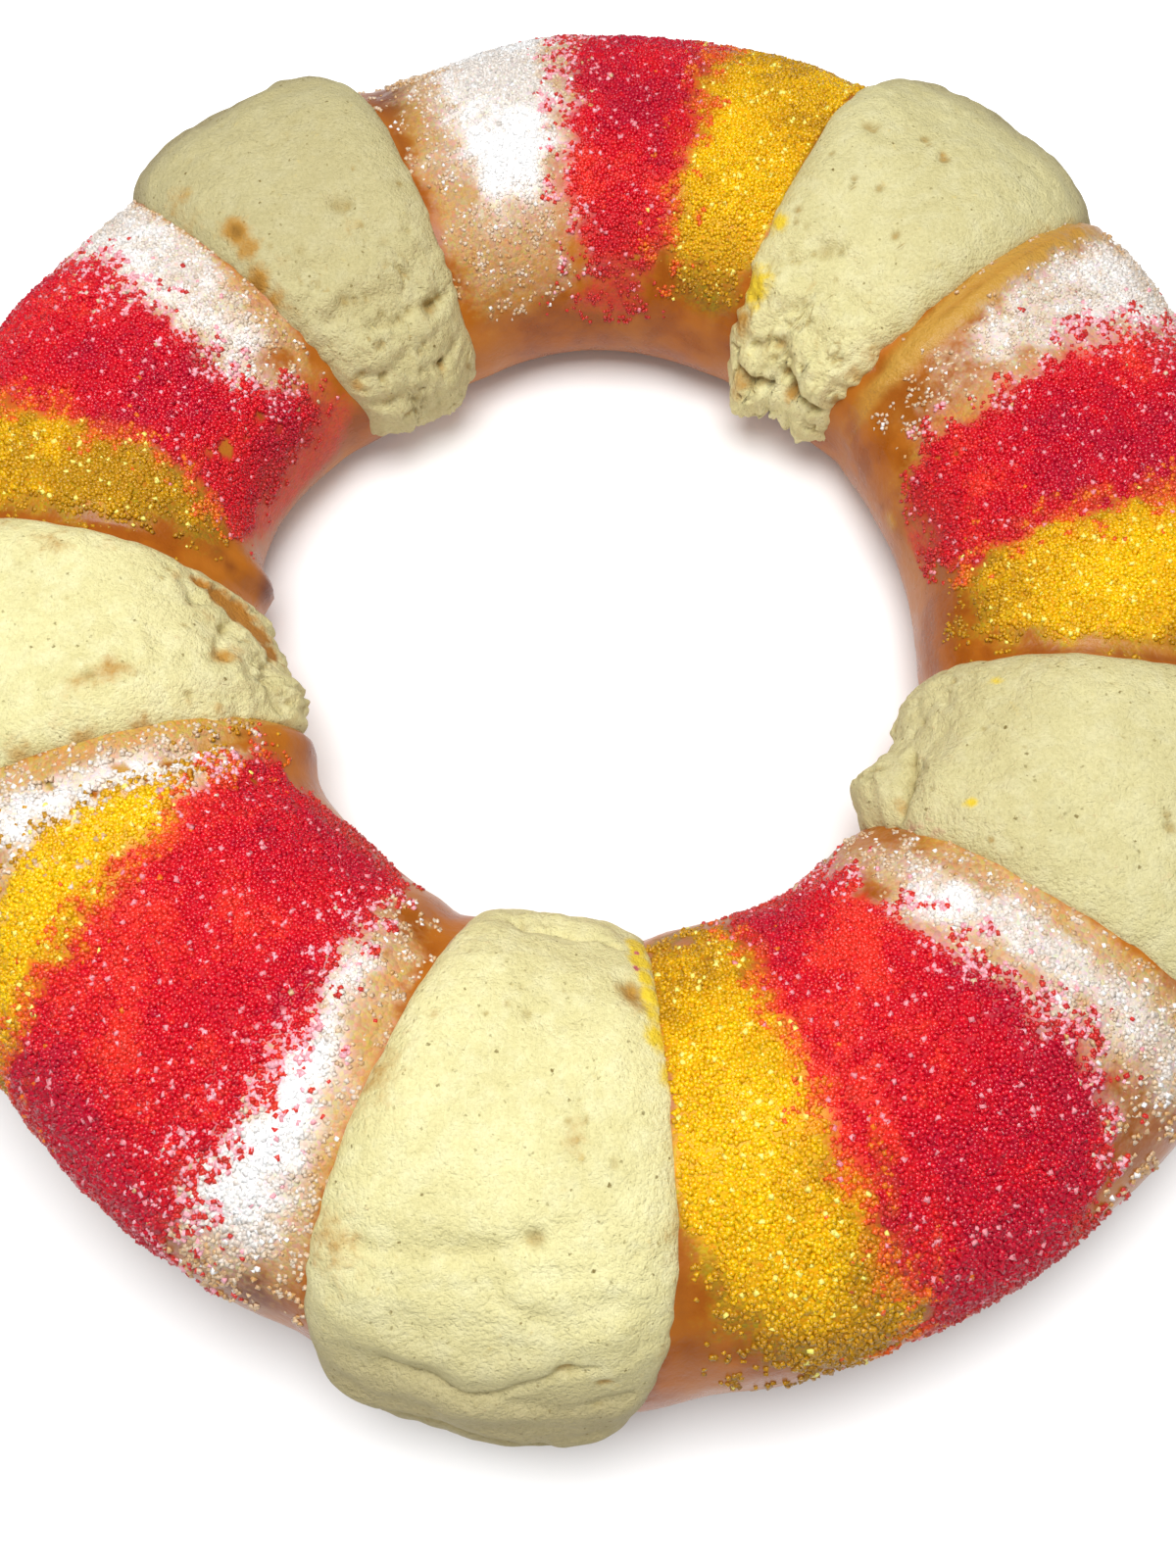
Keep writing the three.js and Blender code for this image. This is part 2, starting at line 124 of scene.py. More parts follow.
# ------------------------------------------------------------------ sugar paste strips
# darkening: how much darker it is drawn at the crest and at its inner end. ends: "over" where it
# stops.
# crumb: "over" from which it is torn, and how rough. edges: its two edges, as "around", at each
# edge level. lumps: broad forms, as in the solid. creases: width mm, rise mm, then the points of
# the path. pits: around, over, radius mm, depth mm, how dark, which browns the pit and gives it
# painted shade. stains: for each colour, around, over, radius mm, strength.
STRIPS = {
    "paste_front": dict(
        darkening=(0, .15), ends=(-14, 179), crumb=(176, .15),
        edges=((251.6, 274.6), (250, 278.4), (253.4, 280.2)),
        lumps=(
            (269, 162, 8, 8, 1.2), (269, 148, 8, 3.5, -.4), (264, 62, 9, 5, .8),
            (262, 46, 9, 5, 1.0), (264, 30, 8, 4, .9), (263, 4, 9, 7, 1.6),
        ),
        creases=(
            (.8, -1.7, (251.8, 13), (254, 12.5), (256.5, 12), (259, 13.5), (261.5, 15), (263.5, 13),
             (266.2, 9.5), (269.2, 6), (271.2, 5), (275, 8)),
            (2.4, .9, (251.8, 20), (254, 19.5), (256.5, 19), (259, 20.5), (261.5, 22), (263.5, 20),
             (266.2, 16.5), (269.2, 13), (271.2, 12), (275, 15)),
            (.7, -1.0, (257.5, 38), (260.8, 36), (262.8, 34.5), (264.8, 36), (267.2, 41),
             (269.2, 45), (271, 46)),
            (2.2, .5, (257.5, 44), (261, 42), (264.5, 43), (268, 49)),
            (1.5, -.75, (253.8, 64.5), (258.5, 68), (262.8, 71), (265.8, 74)),
            (2.6, .35, (257, 75), (261.5, 77.5), (266, 78.5)),
            (2.0, -.5, (259, 61.5), (261, 63.5), (263.5, 64)),
            (1.6, -.7, (264.4, 62), (267.2, 59), (270, 61), (272.4, 62.5)),
            (2.2, .5, (265.5, 54), (269, 53), (273, 56)),
            (2.0, -.6, (255, 39), (258, 36), (260.5, 38)),
            (1.3, -.6, (266, 33), (269, 31), (273, 34)),
            (1.8, .45, (254, 56), (256.5, 54), (258.5, 57)),
            (.7, -1.1, (260, 151), (262.5, 148), (265, 149.5), (267.5, 151), (270, 147.5),
             (273, 149), (276, 146)),
            (1.6, .7, (262, 156), (266, 158), (271, 155), (275, 154)),
            (2.6, .35, (257, 132), (263, 134), (270, 131)),
            (2.6, -.25, (253, 112), (258, 108), (263, 110)),
            (1.6, -.35, (264, 118), (267, 116), (270, 119)),
        ),
        pits=(
            (266.8, 75, 1.3, 1.1, .8), (269, 45.5, 1.1, 1.0, .9), (271.5, 41.5, .8, .5, 1.3),
            (276.6, 128, 2.3, 1.6, 1.0), (278.2, 124, 1.5, .9, 1.1), (269.2, 95.5, .6, .4, .6),
            (270.8, 96, .5, .4, .8), (264.5, 118, 1.0, .5, .4), (262.2, 119, .5, .4, .8),
            (260, 115.5, .5, .4, .9), (262, 150.5, 1.6, .8, .2), (273, 89, .6, .4, .5),
        ),
        stains={
            "toasted": ((269.6, 93, 2.6, .45), (276.8, 127, 3.6, .9), (251, 96, 5.0, .6),
                        (251.8, 62, 6.0, .6), (278.4, 74, 5.0, .5), (276.5, 44, 4.0, .4),
                        (266, 49, 3.0, .12), (254.5, 112, 1.4, .6)),
            "yellow": ((278.7, 115, 2.8, 1.0), (279.1, 105, 2.2, .9), (278.7, 121, 2.4, .9),
                       (278.6, 127, 2.6, 1.0), (278.6, 134, 2.4, 1.0), (278.4, 141, 3.0, 1.1),
                       (278.4, 147, 2.6, 1.0), (278.6, 152, 3.2, 1.0)),
            "pink": ((277.7, 137, .7, 1.5), (252.4, 146, 2.6, .75), (251.8, 139, 2.0, .7),
                     (278.3, 146, .8, 1.6), (270.2, 6.5, 1.0, .6)),
        },
    ),
    "paste_right": dict(
        darkening=(.3, .4), ends=(-8, 182), crumb=(146, .55),
        edges=((323, 347), (321.2, 348.4), (320.4, 348.2)),
        lumps=(
            (325, 170, 5, 11, 4.6), (326, 148, 5, 3.5, -1.6), (338, 128, 6, 14, .9),
        ),
        creases=(
            (1.1, -1.9, (319.5, 149), (322, 147.5), (325, 149), (328, 151), (331, 154)),
            (1.8, .8, (321, 156), (324, 157), (328, 160), (331, 164)),
            (2.2, -.35, (324, 133), (330, 128), (336, 131), (342, 127)),
            (2.6, .35, (327, 140), (333, 137), (340, 141)),
            (2.4, -.3, (330, 112), (336, 115), (341, 110)),
            (1.6, -.6, (340, 148), (343, 152), (345, 150)),
            (1.8, -.5, (333, 160), (337, 157), (341, 162)),
            (2.6, .4, (334, 48), (340, 44), (345, 49)), (2.0, -.5, (326, 38), (332, 34), (339, 37)),
        ),
        pits=(
            (331.5, 86, .9, .6, .9), (332.4, 87.4, .7, .5, .8), (322.6, 117, .6, .4, .9),
            (335.6, 132, .6, .5, .6), (333.8, 120, .4, .3, .8), (343.8, 148, .9, .7, .4),
            (337.4, 156, .9, .7, .3), (325.4, 138, .6, .4, .4),
        ),
        stains={
            "yellow": ((325.2, 126, 1.5, .75), (342.8, 133, 1.4, .75)),
            "pink": ((321.2, 134, 3.0, .4), (320.8, 142, 2.4, .35)),
            "toasted": ((347.8, 120, 3.5, .35), (321.6, 112, 2.5, .2), (323, 150, 2.4, .55),
                        (347.8, 142, 2.5, .4)),
        },
    ),
    "paste_back_right": dict(
        darkening=(.3, 0), ends=(-6, 194), crumb=(134, 1),
        edges=((37.6, 60.6), (38.2, 62.8), (39.8, 62.8)),
        lumps=(
            (57, 186, 4, 16, 4.2), (44, 158, 3.5, 8, 1.6), (49, 163, 3, 4, -1.8),
            (54, 30, 9, 24, .9),
        ),
        creases=(
            (1.3, -2.0, (41, 168), (44, 168.5), (47, 167.5), (49.5, 164)),
            (1.4, -1.4, (50, 158), (52, 154), (55, 156), (57.5, 161)),
            (1.3, -1.5, (52, 170), (55.5, 173), (59, 171)),
            (2.0, .6, (43, 150), (46, 152), (48.5, 149)),
            (1.6, -.7, (54, 133), (57.5, 130), (60.5, 133)),
            (1.8, .8, (56, 141), (59, 139), (61.5, 142)),
            (1.6, -.6, (50, 145), (53, 142), (55, 146)),
            (1.6, -.5, (49, 122), (53, 119), (57, 123)), (1.8, .4, (40, 124), (43, 127), (46, 123)),
            (1.8, -.4, (53, 111), (57, 113), (60, 110)),
        ),
        pits=(
            (48, 166, 1.6, 1.6, 1.2), (50.5, 163, 1.3, 1.4, .9), (53, 159.5, 1.2, 1.4, .7),
            (53.5, 155, 1.5, 1.4, .9), (57, 172, 1.2, 1.2, 1.0), (47.6, 108, .9, .6, .9),
            (46.2, 109.5, .6, .4, .8), (49.4, 83, .9, .7, 1.2), (50, 81.5, .6, .5, 1.0),
            (52.4, 80, .8, .5, 1.1), (51.6, 81.4, .5, .4, 1.0), (58, 84, 1.1, .5, .7),
            (57.2, 85, .7, .4, .7), (52.8, 98.8, .8, .5, .9), (55.8, 100, .7, .5, .9),
            (55.4, 102.6, .6, .4, .8), (59.8, 95, .6, .4, .7), (60, 115, .9, .5, .7),
            (59.4, 119, .7, .4, .6), (53.8, 122, 2.2, 1.2, .35), (48.2, 168, 1.5, 1.5, 1.0),
            (53, 152, .9, .8, .5), (52.2, 120, .8, .6, .6), (55, 125, .8, .6, .4),
            (58, 128, .8, .7, .4), (50.5, 128, .7, .5, .5), (49.8, 133, .5, .4, .6),
            (57.8, 119, .7, .5, .4), (57.2, 83, .6, .4, .6), (41.6, 158, .9, .7, .3),
            (45.5, 147, .8, .6, .3), (60.4, 146, 1.1, .9, .3),
        ),
        stains={
            "yellow": ((61, 143, 5.0, 1.0), (61.6, 120, 2.6, .8)),
            "toasted": ((61.2, 156, 4.6, .9), (39.8, 138, 3.2, .6), (40.2, 148, 2.6, .7),
                        (47.8, 169, 2.6, .9), (57.6, 175, 4.2, .75), (52.6, 155, 1.8, .4),
                        (53, 133, 1.2, .4), (38.2, 70, 3.0, .3), (54.6, 160, 1.6, .5)),
        },
    ),
    "paste_back_left": dict(
        darkening=(.6, .45), ends=(-8, 200), crumb=(128, .75),
        edges=((112, 134.8), (110.2, 135.6), (108.6, 133.4)),
        lumps=(
            (115, 180, 5, 16, 1.6), (126, 152, 5, 7, 1.2), (120, 141, 8, 4, -1.1),
            (120.5, 188, 3, 12, -1.8), (122, 118, 8, 5, -.6),
        ),
        creases=(
            (1.2, -1.3, (110.5, 145), (114, 146), (117, 143.5), (121, 145), (125, 142)),
            (1.8, .6, (111, 150), (115, 151.5), (119, 149)),
            (1.6, -.7, (118, 137), (122, 134), (127, 137), (131, 134)),
            (1.8, .45, (119, 128), (124, 126), (130, 129)),
            (1.8, -.45, (114, 121), (119, 119), (125, 121), (129, 118)),
            (1.8, -.3, (124, 110), (129, 108), (132, 111)),
            (1.4, -.7, (121, 155), (126, 158), (131, 155)),
            (1.4, -.8, (112, 164), (116, 166), (120, 163)),
            (1.6, .7, (108.5, 172), (113, 174), (117, 172)),
            (1.5, -.7, (124, 168), (128, 170), (132, 167)),
            (2.0, -.35, (110, 129), (113, 133), (117, 131)),
        ),
        pits=(
            (114.5, 146, 1.9, 1.6, .9), (112.4, 145, 1.1, 1.1, .7), (112, 106, .7, .4, .8),
            (120.3, 105, 2.0, 1.2, .4), (119.4, 106.4, 1.2, .9, .6), (126.8, 131, 1.4, 1.1, .6),
            (125.4, 132, 1.0, .8, .5), (115.8, 166, 1.1, 1.0, .9), (130, 154.5, 1.1, .8, .5),
            (117.2, 121, 1.5, .7, .2), (122.6, 140, 1.3, .8, .3), (119, 157, 1.2, .8, .3),
            (125, 148, 1.0, .7, .4), (116.4, 133, 1.0, .6, .3), (128, 112, 1.4, .6, .2),
            (115.6, 166, 1.0, .9, .7), (126.6, 144.5, .6, .5, .8), (130.6, 106, .7, .5, .4),
            (119, 114, .6, .4, .6), (123.6, 133, .8, .6, .4), (116.6, 98, .5, .3, .7),
            (119.8, 151, .7, .6, .4), (128.8, 123, .8, .6, .3), (131, 161, .9, .7, .4),
            (122.6, 173, .9, .8, .4), (113.4, 121.5, .7, .5, .4),
        ),
        stains={
            "toasted": ((132.4, 96.5, 2.8, 1.35), (132.8, 102, 3.0, .95), (134.6, 111, 3.2, 1.2),
                        (134.4, 118, 3.0, .8), (134, 75, 3.4, .55), (131.6, 158, 2.4, .8),
                        (132, 160, 3.2, .45), (130.8, 112, 2.0, .35), (135, 84, 3.0, .4),
                        (115.6, 167, 1.6, .5), (109.2, 120, 2.4, .3), (134, 124, 2.4, .4),
                        (120.5, 112, 2.4, .3)),
        },
    ),
    "paste_left": dict(
        darkening=(0, .3), ends=(-6, 184), crumb=(140, .75),
        edges=((174.4, 201.4), (174.2, 201.6), (177, 203.4)),
        lumps=(
            (200, 172, 7, 12, 5.0), (178.5, 170, 2.5, 10, 2.6), (182, 155, 4, 10, -1.4),
            (186, 140, 5, 6, -.8),
        ),
        creases=(
            (1.6, -1.3, (180, 163), (182.5, 158), (184.5, 150), (187.5, 145)),
            (1.2, -1.0, (187, 146), (190, 142), (194, 138)),
            (2.0, .8, (188, 152), (192, 147), (196, 145), (201, 149)),
            (1.4, -.6, (178, 137), (181, 133), (184, 136)),
            (1.8, .35, (190, 130), (194, 127), (199, 131)),
            (1.5, -.8, (193, 158), (197, 156), (202, 160)),
            (1.4, -.9, (197, 168), (200, 171), (203, 169)),
            (2.0, -.25, (180, 113), (185, 110), (190, 114)),
        ),
        pits=(
            (193, 142, 1.4, .9, .8), (195.6, 104, 1.2, .5, .8), (179.6, 129, .6, .5, .8),
            (181.4, 126, .5, .4, .8), (185.6, 101, .4, .3, .7), (184.6, 134, .9, .7, .5),
            (188.6, 131, .7, .5, .5), (199.4, 128, .9, .6, .7), (196.6, 154, .9, .8, .5),
            (200.2, 163, 1.0, .9, .5), (191, 162, 1.1, 1.0, .7), (199, 176, 1.0, 1.0, .5),
        ),
        stains={
            "bread": ((179.8, 140, 2.4, .9), (181, 148, 3.8, 1.2), (182.4, 155, 5.0, 1.3),
                      (185.2, 161, 4.8, 1.3), (188.8, 165.5, 3.6, 1.2)),
            "toasted": ((202, 114, 2.8, .8), (201.6, 84, 3.4, .7), (201.8, 98, 3.0, .7),
                        (201.6, 136, 2.4, .5), (180, 138, 3.0, .5), (193.2, 142.5, 3.2, .9),
                        (191.8, 146, 2.2, .7), (195.4, 109, 3.4, .8), (196.6, 101, 3.0, .55),
                        (178.4, 97, 4.2, .5), (177.6, 112, 2.6, .4), (180.4, 131, 2.4, .4),
                        (200.2, 128, 2.0, .5), (190.4, 137, 2.0, .3), (186, 139, 2.4, .35),
                        (199.5, 95, 3.0, .3), (175.6, 84, 3.0, .5)),
        },
    ),
}
PASTE_GRID = (96, 240)
EVENLY = 0.45               # how evenly the grid is spaced: less crowds it at the rims
PASTE_SEED = 11
SEED_STEP = 20              # between one strip and the next
RIM_SQUARENESS = (5, 14)    # how squarely its rims fall, at its long edges and at its ends
RIM_SMOOTH = (0.3, 0.9)     # how far in the fine relief starts
RIM_TOASTED = (0.2, 1.3)    # how toasted the rim is, and how wide mm
FOOT_SHADE = 0.95           # painted shade: how much darker a strip is drawn at its outer foot
# levels over which a strip darkens towards the hole, and over which the painted shade at its foot
# fades out
DARKER_INSIDE, FOOT_SHADE_LEVELS = (95, 165), (20, 66)
BREAD_DEPTH = 1.1           # how deep bare bread lies in a strip
BREAD_EDGE = (0.25, 0.75)   # how strong the stain is at its edge
UNSTAINED = 0xF0D860        # what the stains' mottles show where nothing has run

# Layers of a strip's relief: height mm, more height where it sags, which way it lies (0 evenly,
# 1 in folds across the strip), size mm, seed step.
PASTE_LAYERS = ((0.22, 0, 0, 9, 0), (0, 0.26, 1, 8, 5), (0, 0.11, 1, 4, 11),
                (-0.3, 0.3, 0, 4.6, 13), (0.12, 0.08, 0, 2.8, 1), (0.1, 0, 0, 1.4, 2))
SAG = 0.7                   # how much stronger the folds are where the paste has slid down
SAG_LEVELS = (45, 85)
FOLD_SQUEEZE = 1.9          # how much closer the folds follow one another than they are long
# The torn inner end: clods, crumbs and grit are height mm, size mm, seed step.
CLODS, CRUMBS, GRIT = (1.3, 5.2, 3), (0.55, 2.1, 4), (0.32, 1.1, 12)
CLOD_ROUNDING = 0.012       # how rounded the valleys between clods are
CLOD_BEND = (2.2, 5, (7, 8, 9))     # bent how far mm, how finely mm, and seed steps
TORN_LEVEL = -0.4           # how much lower the torn paste lies
TORN_WANDER = (14, 11, 6)   # degrees that its edge wanders, how finely mm, seed step
TORN_EDGE = (-26, 12)       # degrees from its start over which it gets rough
OPEN_PORES = (3.1, 10, 0.15, 0.6)   # the places with pores: size mm, seed step, and edges
PORE_DEPTH = 0.9
PORE_WIDTHS = (0.2, 0.16)   # of a pore's relief and of its painted shade, in the crumbs' noise
CRACK_SHADE = (0.45, 0.08)  # painted shade: how dark and how wide the valleys between clods are drawn
SHADE_AS_TOASTED = 0.4          # how much toasted colour its hollows get, as part of their painted shade
END_CLODS = ((9, 5.4, 0), (4, 2.2, 1))  # how the end itself juts out: degrees, size mm, seed step
END_CLOD_LEVEL = 6          # degrees that it lies back for them
# How the long edges wander: degrees, more where torn, size mm, seed step.
EDGE_WAVERS = ((0.22, 0.5, 7, 2), (0.12, 0.35, 2.4, 3))
EDGE_TORN = 30              # degrees before the torn end over which they get rough
EDGE_ONLY = 4               # exponent that keeps the wander to the edges
WAVER_ROW = 31              # row of the noise that it is read from
# Creases deeper than this get painted shade: shade for a millimetre, most shade, share of the
# width.
DEEP_CREASE = -0.6
CREASE_SHADE = (0.4, 0.6, 0.7)
SPECKS = ((2.1, 0.12, 0.5), (3.2, 0.085, 0.75), (6.0, 0.055, 0.9))  # apart mm, radius, strength
# Fine pores: how many, margins around and over in degrees, how evenly they lie over the strip, and
# radius mm and depth mm as least and more.
PORES_A_STRIP = 90
PORE_MARGINS = (1.5, 8)
PORE_EVENNESS = 0.7
PORE_RADIUS, FINE_PORE_DEPTH, PORE_DARKNESS = (0.3, 0.35), (0.15, 0.35), 0.25
PIT_REACH = 4               # radii past which a pit has no effect
PIT_WIDENING = 1.25         # how much wider than high it is
PIT_TOASTED = 0.5           # how toasted it is, for its darkness
PIT_SHADE = (0.4, 0.8)      # how deep its painted shade is: least, and more for its darkness

# ------------------------------------------------------------------ sugar bands
# Each band: its colour, then rows of over, around from, around to, how densely it lies.
BANDS = (
    ("yellow", (4, 284, 291, 0), (30, 283, 292, .6), (45, 282.4, 293, .75), (60, 281, 292, .9),
     (75, 278.4, 291.5, 1), (90, 277.5, 291.5, 1), (120, 277.5, 291, .95), (140, 278, 291.5, .8),
     (150, 280, 292, .5), (160, 282, 291, 0)),
    ("red", (2, 294, 304, 0), (16, 293, 305, .6), (30, 293, 305, .9), (45, 293, 308, 1),
     (60, 292, 311, 1), (90, 291.5, 312, 1), (120, 291.5, 309.5, 1), (140, 293, 308, 1),
     (150, 293.5, 310.5, .85), (158, 294, 311.5, .55), (168, 294.5, 312.5, .35),
     (178, 297, 311, .12), (184, 299, 308, 0)),
    ("white", (10, 315, 319, 0), (30, 314.3, 320, .3), (45, 314, 320, .5), (60, 314.2, 319.8, .68),
     (90, 313.8, 319, .88), (110, 312.2, 318.2, .88), (120, 311, 317.6, .8),
     (130, 311.4, 317.4, .5), (142, 310.5, 317, .42), (156, 307, 316, .32), (168, 306, 315, .2),
     (178, 308, 314, 0)),
    ("yellow", (4, 352, 363, 0), (26, 351, 365, .7), (60, 351, 365.5, 1), (90, 351, 365.5, 1),
     (120, 350.5, 364.8, .95), (138, 351, 363.5, .75), (148, 352, 362, .3), (156, 352, 361, 0)),
    ("red", (4, 367, 380, 0), (26, 365.5, 382, .8), (60, 365.5, 382.5, 1), (90, 365.5, 384.8, 1),
     (120, 365, 382.5, 1), (142, 363.5, 384, .92), (151, 365, 382.5, .7), (160, 366.5, 379, .4),
     (172, 368, 377, 0)),
    ("white", (10, 385, 394, 0), (34, 384, 395, .6), (60, 383.5, 395, .72), (90, 386.5, 395, .7),
     (105, 386.5, 394, .6), (120, 387, 392.5, .32), (140, 385.5, 391, .16), (158, 386, 390, 0)),
    ("yellow", (4, 61, 72, 0), (30, 60, 74, .8), (60, 60, 74, 1), (90, 60.5, 75.5, 1),
     (120, 61.5, 75.3, 1), (140, 62.5, 76, .6), (150, 65, 75, .28), (160, 66, 75, 0)),
    ("red", (4, 78, 88, 0), (30, 76, 90, .8), (60, 76, 90, 1), (90, 76.5, 90, 1),
     (120, 76, 89.5, .95), (140, 76, 88.5, .75), (155, 77, 88, .42), (168, 78, 91, .16),
     (178, 80, 88, 0)),
    ("white", (6, 93, 101, .3), (30, 92, 102, .95), (60, 92, 102.5, 1), (90, 91.8, 103.5, 1),
     (110, 93, 103.4, 1), (118, 93.5, 102.4, .7), (126, 92, 104, .4), (140, 91, 106, .22),
     (154, 90, 107, .2), (168, 91, 106, 0)),
    ("white", (8, 136, 142, 0), (32, 134.5, 144, .75), (60, 134.5, 144.2, .78),
     (90, 135.5, 144.8, .78), (120, 137, 147, .62), (131, 139.5, 147.5, .5), (143, 141.5, 148, .3),
     (157, 137.5, 143, 0)),
    ("red", (4, 147, 157, 0), (26, 145, 159, .85), (60, 144.5, 160, 1), (90, 145, 162, 1),
     (120, 147, 161.5, 1), (138, 145, 162.5, .95), (150, 140, 164.5, .85), (160, 138.5, 165, .85),
     (168, 140, 164.5, .5), (176, 151, 158, .3), (183, 153, 156, 0)),
    ("yellow", (4, 164, 169, 0), (30, 163, 171.5, .8), (60, 163, 172.6, 1), (90, 162, 172.6, 1),
     (106, 162, 172.4, .85), (120, 162, 172, .75), (140, 163, 170, .6), (152, 164, 169, .22),
     (159, 165, 168, 0)),
    ("white", (12, 204, 207, 0), (40, 203.2, 208.5, .65), (75, 203.4, 209, .85),
     (90, 203.8, 209.3, .85), (106, 204, 210.5, .75), (120, 204.5, 212, .5), (138, 206, 212, .28),
     (152, 207, 211, 0)),
    ("yellow", (4, 220, 223, 0), (26, 218.8, 223, .7), (42, 218.5, 223, .9), (60, 214.5, 221, 1),
     (75, 211, 219.5, 1), (90, 209.5, 218, 1), (105, 209.5, 214.8, 1), (112, 209.5, 213.6, .6),
     (122, 207, 214, .25), (146, 206, 215, .12), (156, 207, 214, 0)),
    ("red", (2, 225, 238, 0), (18, 223, 240, .7), (40, 222.5, 240, 1), (60, 221, 241, 1),
     (90, 218, 243, 1), (105, 214.8, 242, 1), (120, 213, 241, 1), (150, 210.5, 241, .9),
     (158, 219, 240, .65), (166, 221.5, 239, .4), (174, 226, 234, .18), (181, 228, 232, 0)),
    ("white", (10, 242, 247, 0), (26, 241, 247.5, .3), (45, 240, 247, .5), (60, 241, 247.8, 1),
     (75, 242.2, 247.6, 1), (90, 242.8, 247.2, 1), (105, 242, 246, .85), (120, 241, 246.6, .6),
     (138, 240, 245.6, .3), (150, 240, 245, 0)),
)
BAND_SOFTNESS = {"white": 3.0, "yellow": 2.3, "red": 2.4}  # degrees of thinning at its edge
BAND_RAGGEDNESS = 1.9       # how strongly its edge wanders
STRAYS = {"white": (0.42, 4.5), "yellow": (0.26, 3.4), "red": (0.2, 3.2)}  # share, degrees beyond
CLUMPING = {"white": 0.4, "yellow": 0.4, "red": 0.6}    # how clumped it lies where it is thin
# How far grains that lie thinly take the colour of the crust under them.
THINNESS = {"white": 0.95, "yellow": 0.8, "red": 0.6}
CROWDING = 0.9              # how far one colour keeps the others out
SUGAR_SEED = 5
# Layers of noise for where the sugar lies and for its tone: strength, size mm, seed step.
BAND_WANDER = ((0.6, 5.0, 0), (0.6, 1.9, 1))
BAND_CLUMPS = ((1.0, 2.4, 2),)
BAND_SLIDE = ((4.0, 6.0, 3), (3.0, 2.2, 4))
BED_HEAPS = ((0.4, 3.0, 6),)
TONE_EDGE = (0.05, 0.9)
TONE_CLOUDS = ((0.75, 15, 7), (0.5, 5, 8), (0.3, 2, 11))
BED_DEPTH = 0.5             # packed sugar under the loose grains
BED_LEVEL = 0.6             # how full the bed is between its heaps
BED_EDGE = (6, 34)          # degrees over at which it starts and is full
FOG_CLUMPING = 0.4          # how much of the clumping shows in the dye under the grains
FOG_REACH = 0.7             # how far thin sugar still dyes the crust: less reaches further
# The dye under the sugar: how far thin sugar lets the crust through, how thin that is, how far
# other colours prevent it, and how much darker dye is than white sugar.
THIN_DYE = 0.85
THIN_EDGE = (0.05, 0.8)
THIN_ALONE = (0.1, 0.5)
DYE_SHADE = 0.07
TINY = 1e-6
# Painted shade: the sugar is drawn deeper towards the foot and the hole: how much, and the two
# levels.
SHADE_TOWARDS_FOOT = (0.9, 12, 56)
SHADE_TOWARDS_HOLE = (0.5, 128, 160)

# The pieces of sugar, from strip to strip: name, around from, around to.
SEGMENTS = (("front_right", 278, 321.5), ("right", 348, 398.5), ("back", 61, 111),
            ("back_left", 133, 176), ("front_left", 200, 252))
GRAIN_LEVELS = (2, 184)     # degrees over between which the grains lie
ROW_SHARE = 0.97            # distance of the rows of grains, of that along a row
GRAIN_WOBBLE = 0.42         # how far a grain may lie from its row, of the spacing
TYPICAL_AROUND = 100.0      # where the rows are counted
CRYSTAL_TAPER = (0.72, 0.84, 1.0)   # how far one face of a crystal is drawn in
SIZE_SPREAD = (0.17, 0.55, 1.5)     # spread, least and most
SIZE_WHERE_THIN = 0.72      # size of grains that lie thinly, of the others'
COARSER_BELOW = (0.3, 25, 65)       # how much coarser at the foot, and the two levels
GRAIN_LIFT = (-0.28, 0.05)  # mm from the bed to a grain's middle, least and most
WHITE_SUNK = (0.16, 0.6, 0.95)      # how much lower thick white sugar lies, and its edges

# Sugar where it lies bright, deep, and thin over the crust. The deep colour also carries the
# painted shade towards the foot and the hole.
SUGAR_SHADES = {"red": (0xEA3226, 0xB20A2A, 0xC0442A), "yellow": (0xF2B804, 0xB4840A, 0x946818),
                "white": (0xFCFBFA, 0xDBD0C6, 0xBC8B48)}
# Grains of another colour: share and colour of pale ones, partly paler crystals and partly painted
# glints; colour, how readily and at most for orange ones where red and yellow mix, and for pink
# ones where white lies among red.
PALE_AND_GLINT_GRAINS = {"red": (0.03, 0xE88890), "yellow": (0.04, 0xFFE870), "white": (0.06, 0xF8F4F0)}
ORANGE_GRAINS = (0xE4641A, 1.3, 0.8)
PINK_GRAINS = (0xEFA0AA, 1.8, 0.8)
GRAIN_THIN = (0.0, 0.75)    # how thin the cover is where grains take the crust's colour
LEAST_THIN = 0.6            # least share of that which a grain takes
TINT_SPREAD = 0.22          # how far a grain's tone strays from its neighbours'
BRIGHT_SPREAD = (0.07, 0.7, 1.3)    # spread, least and most
BRIGHTEST = 0.97
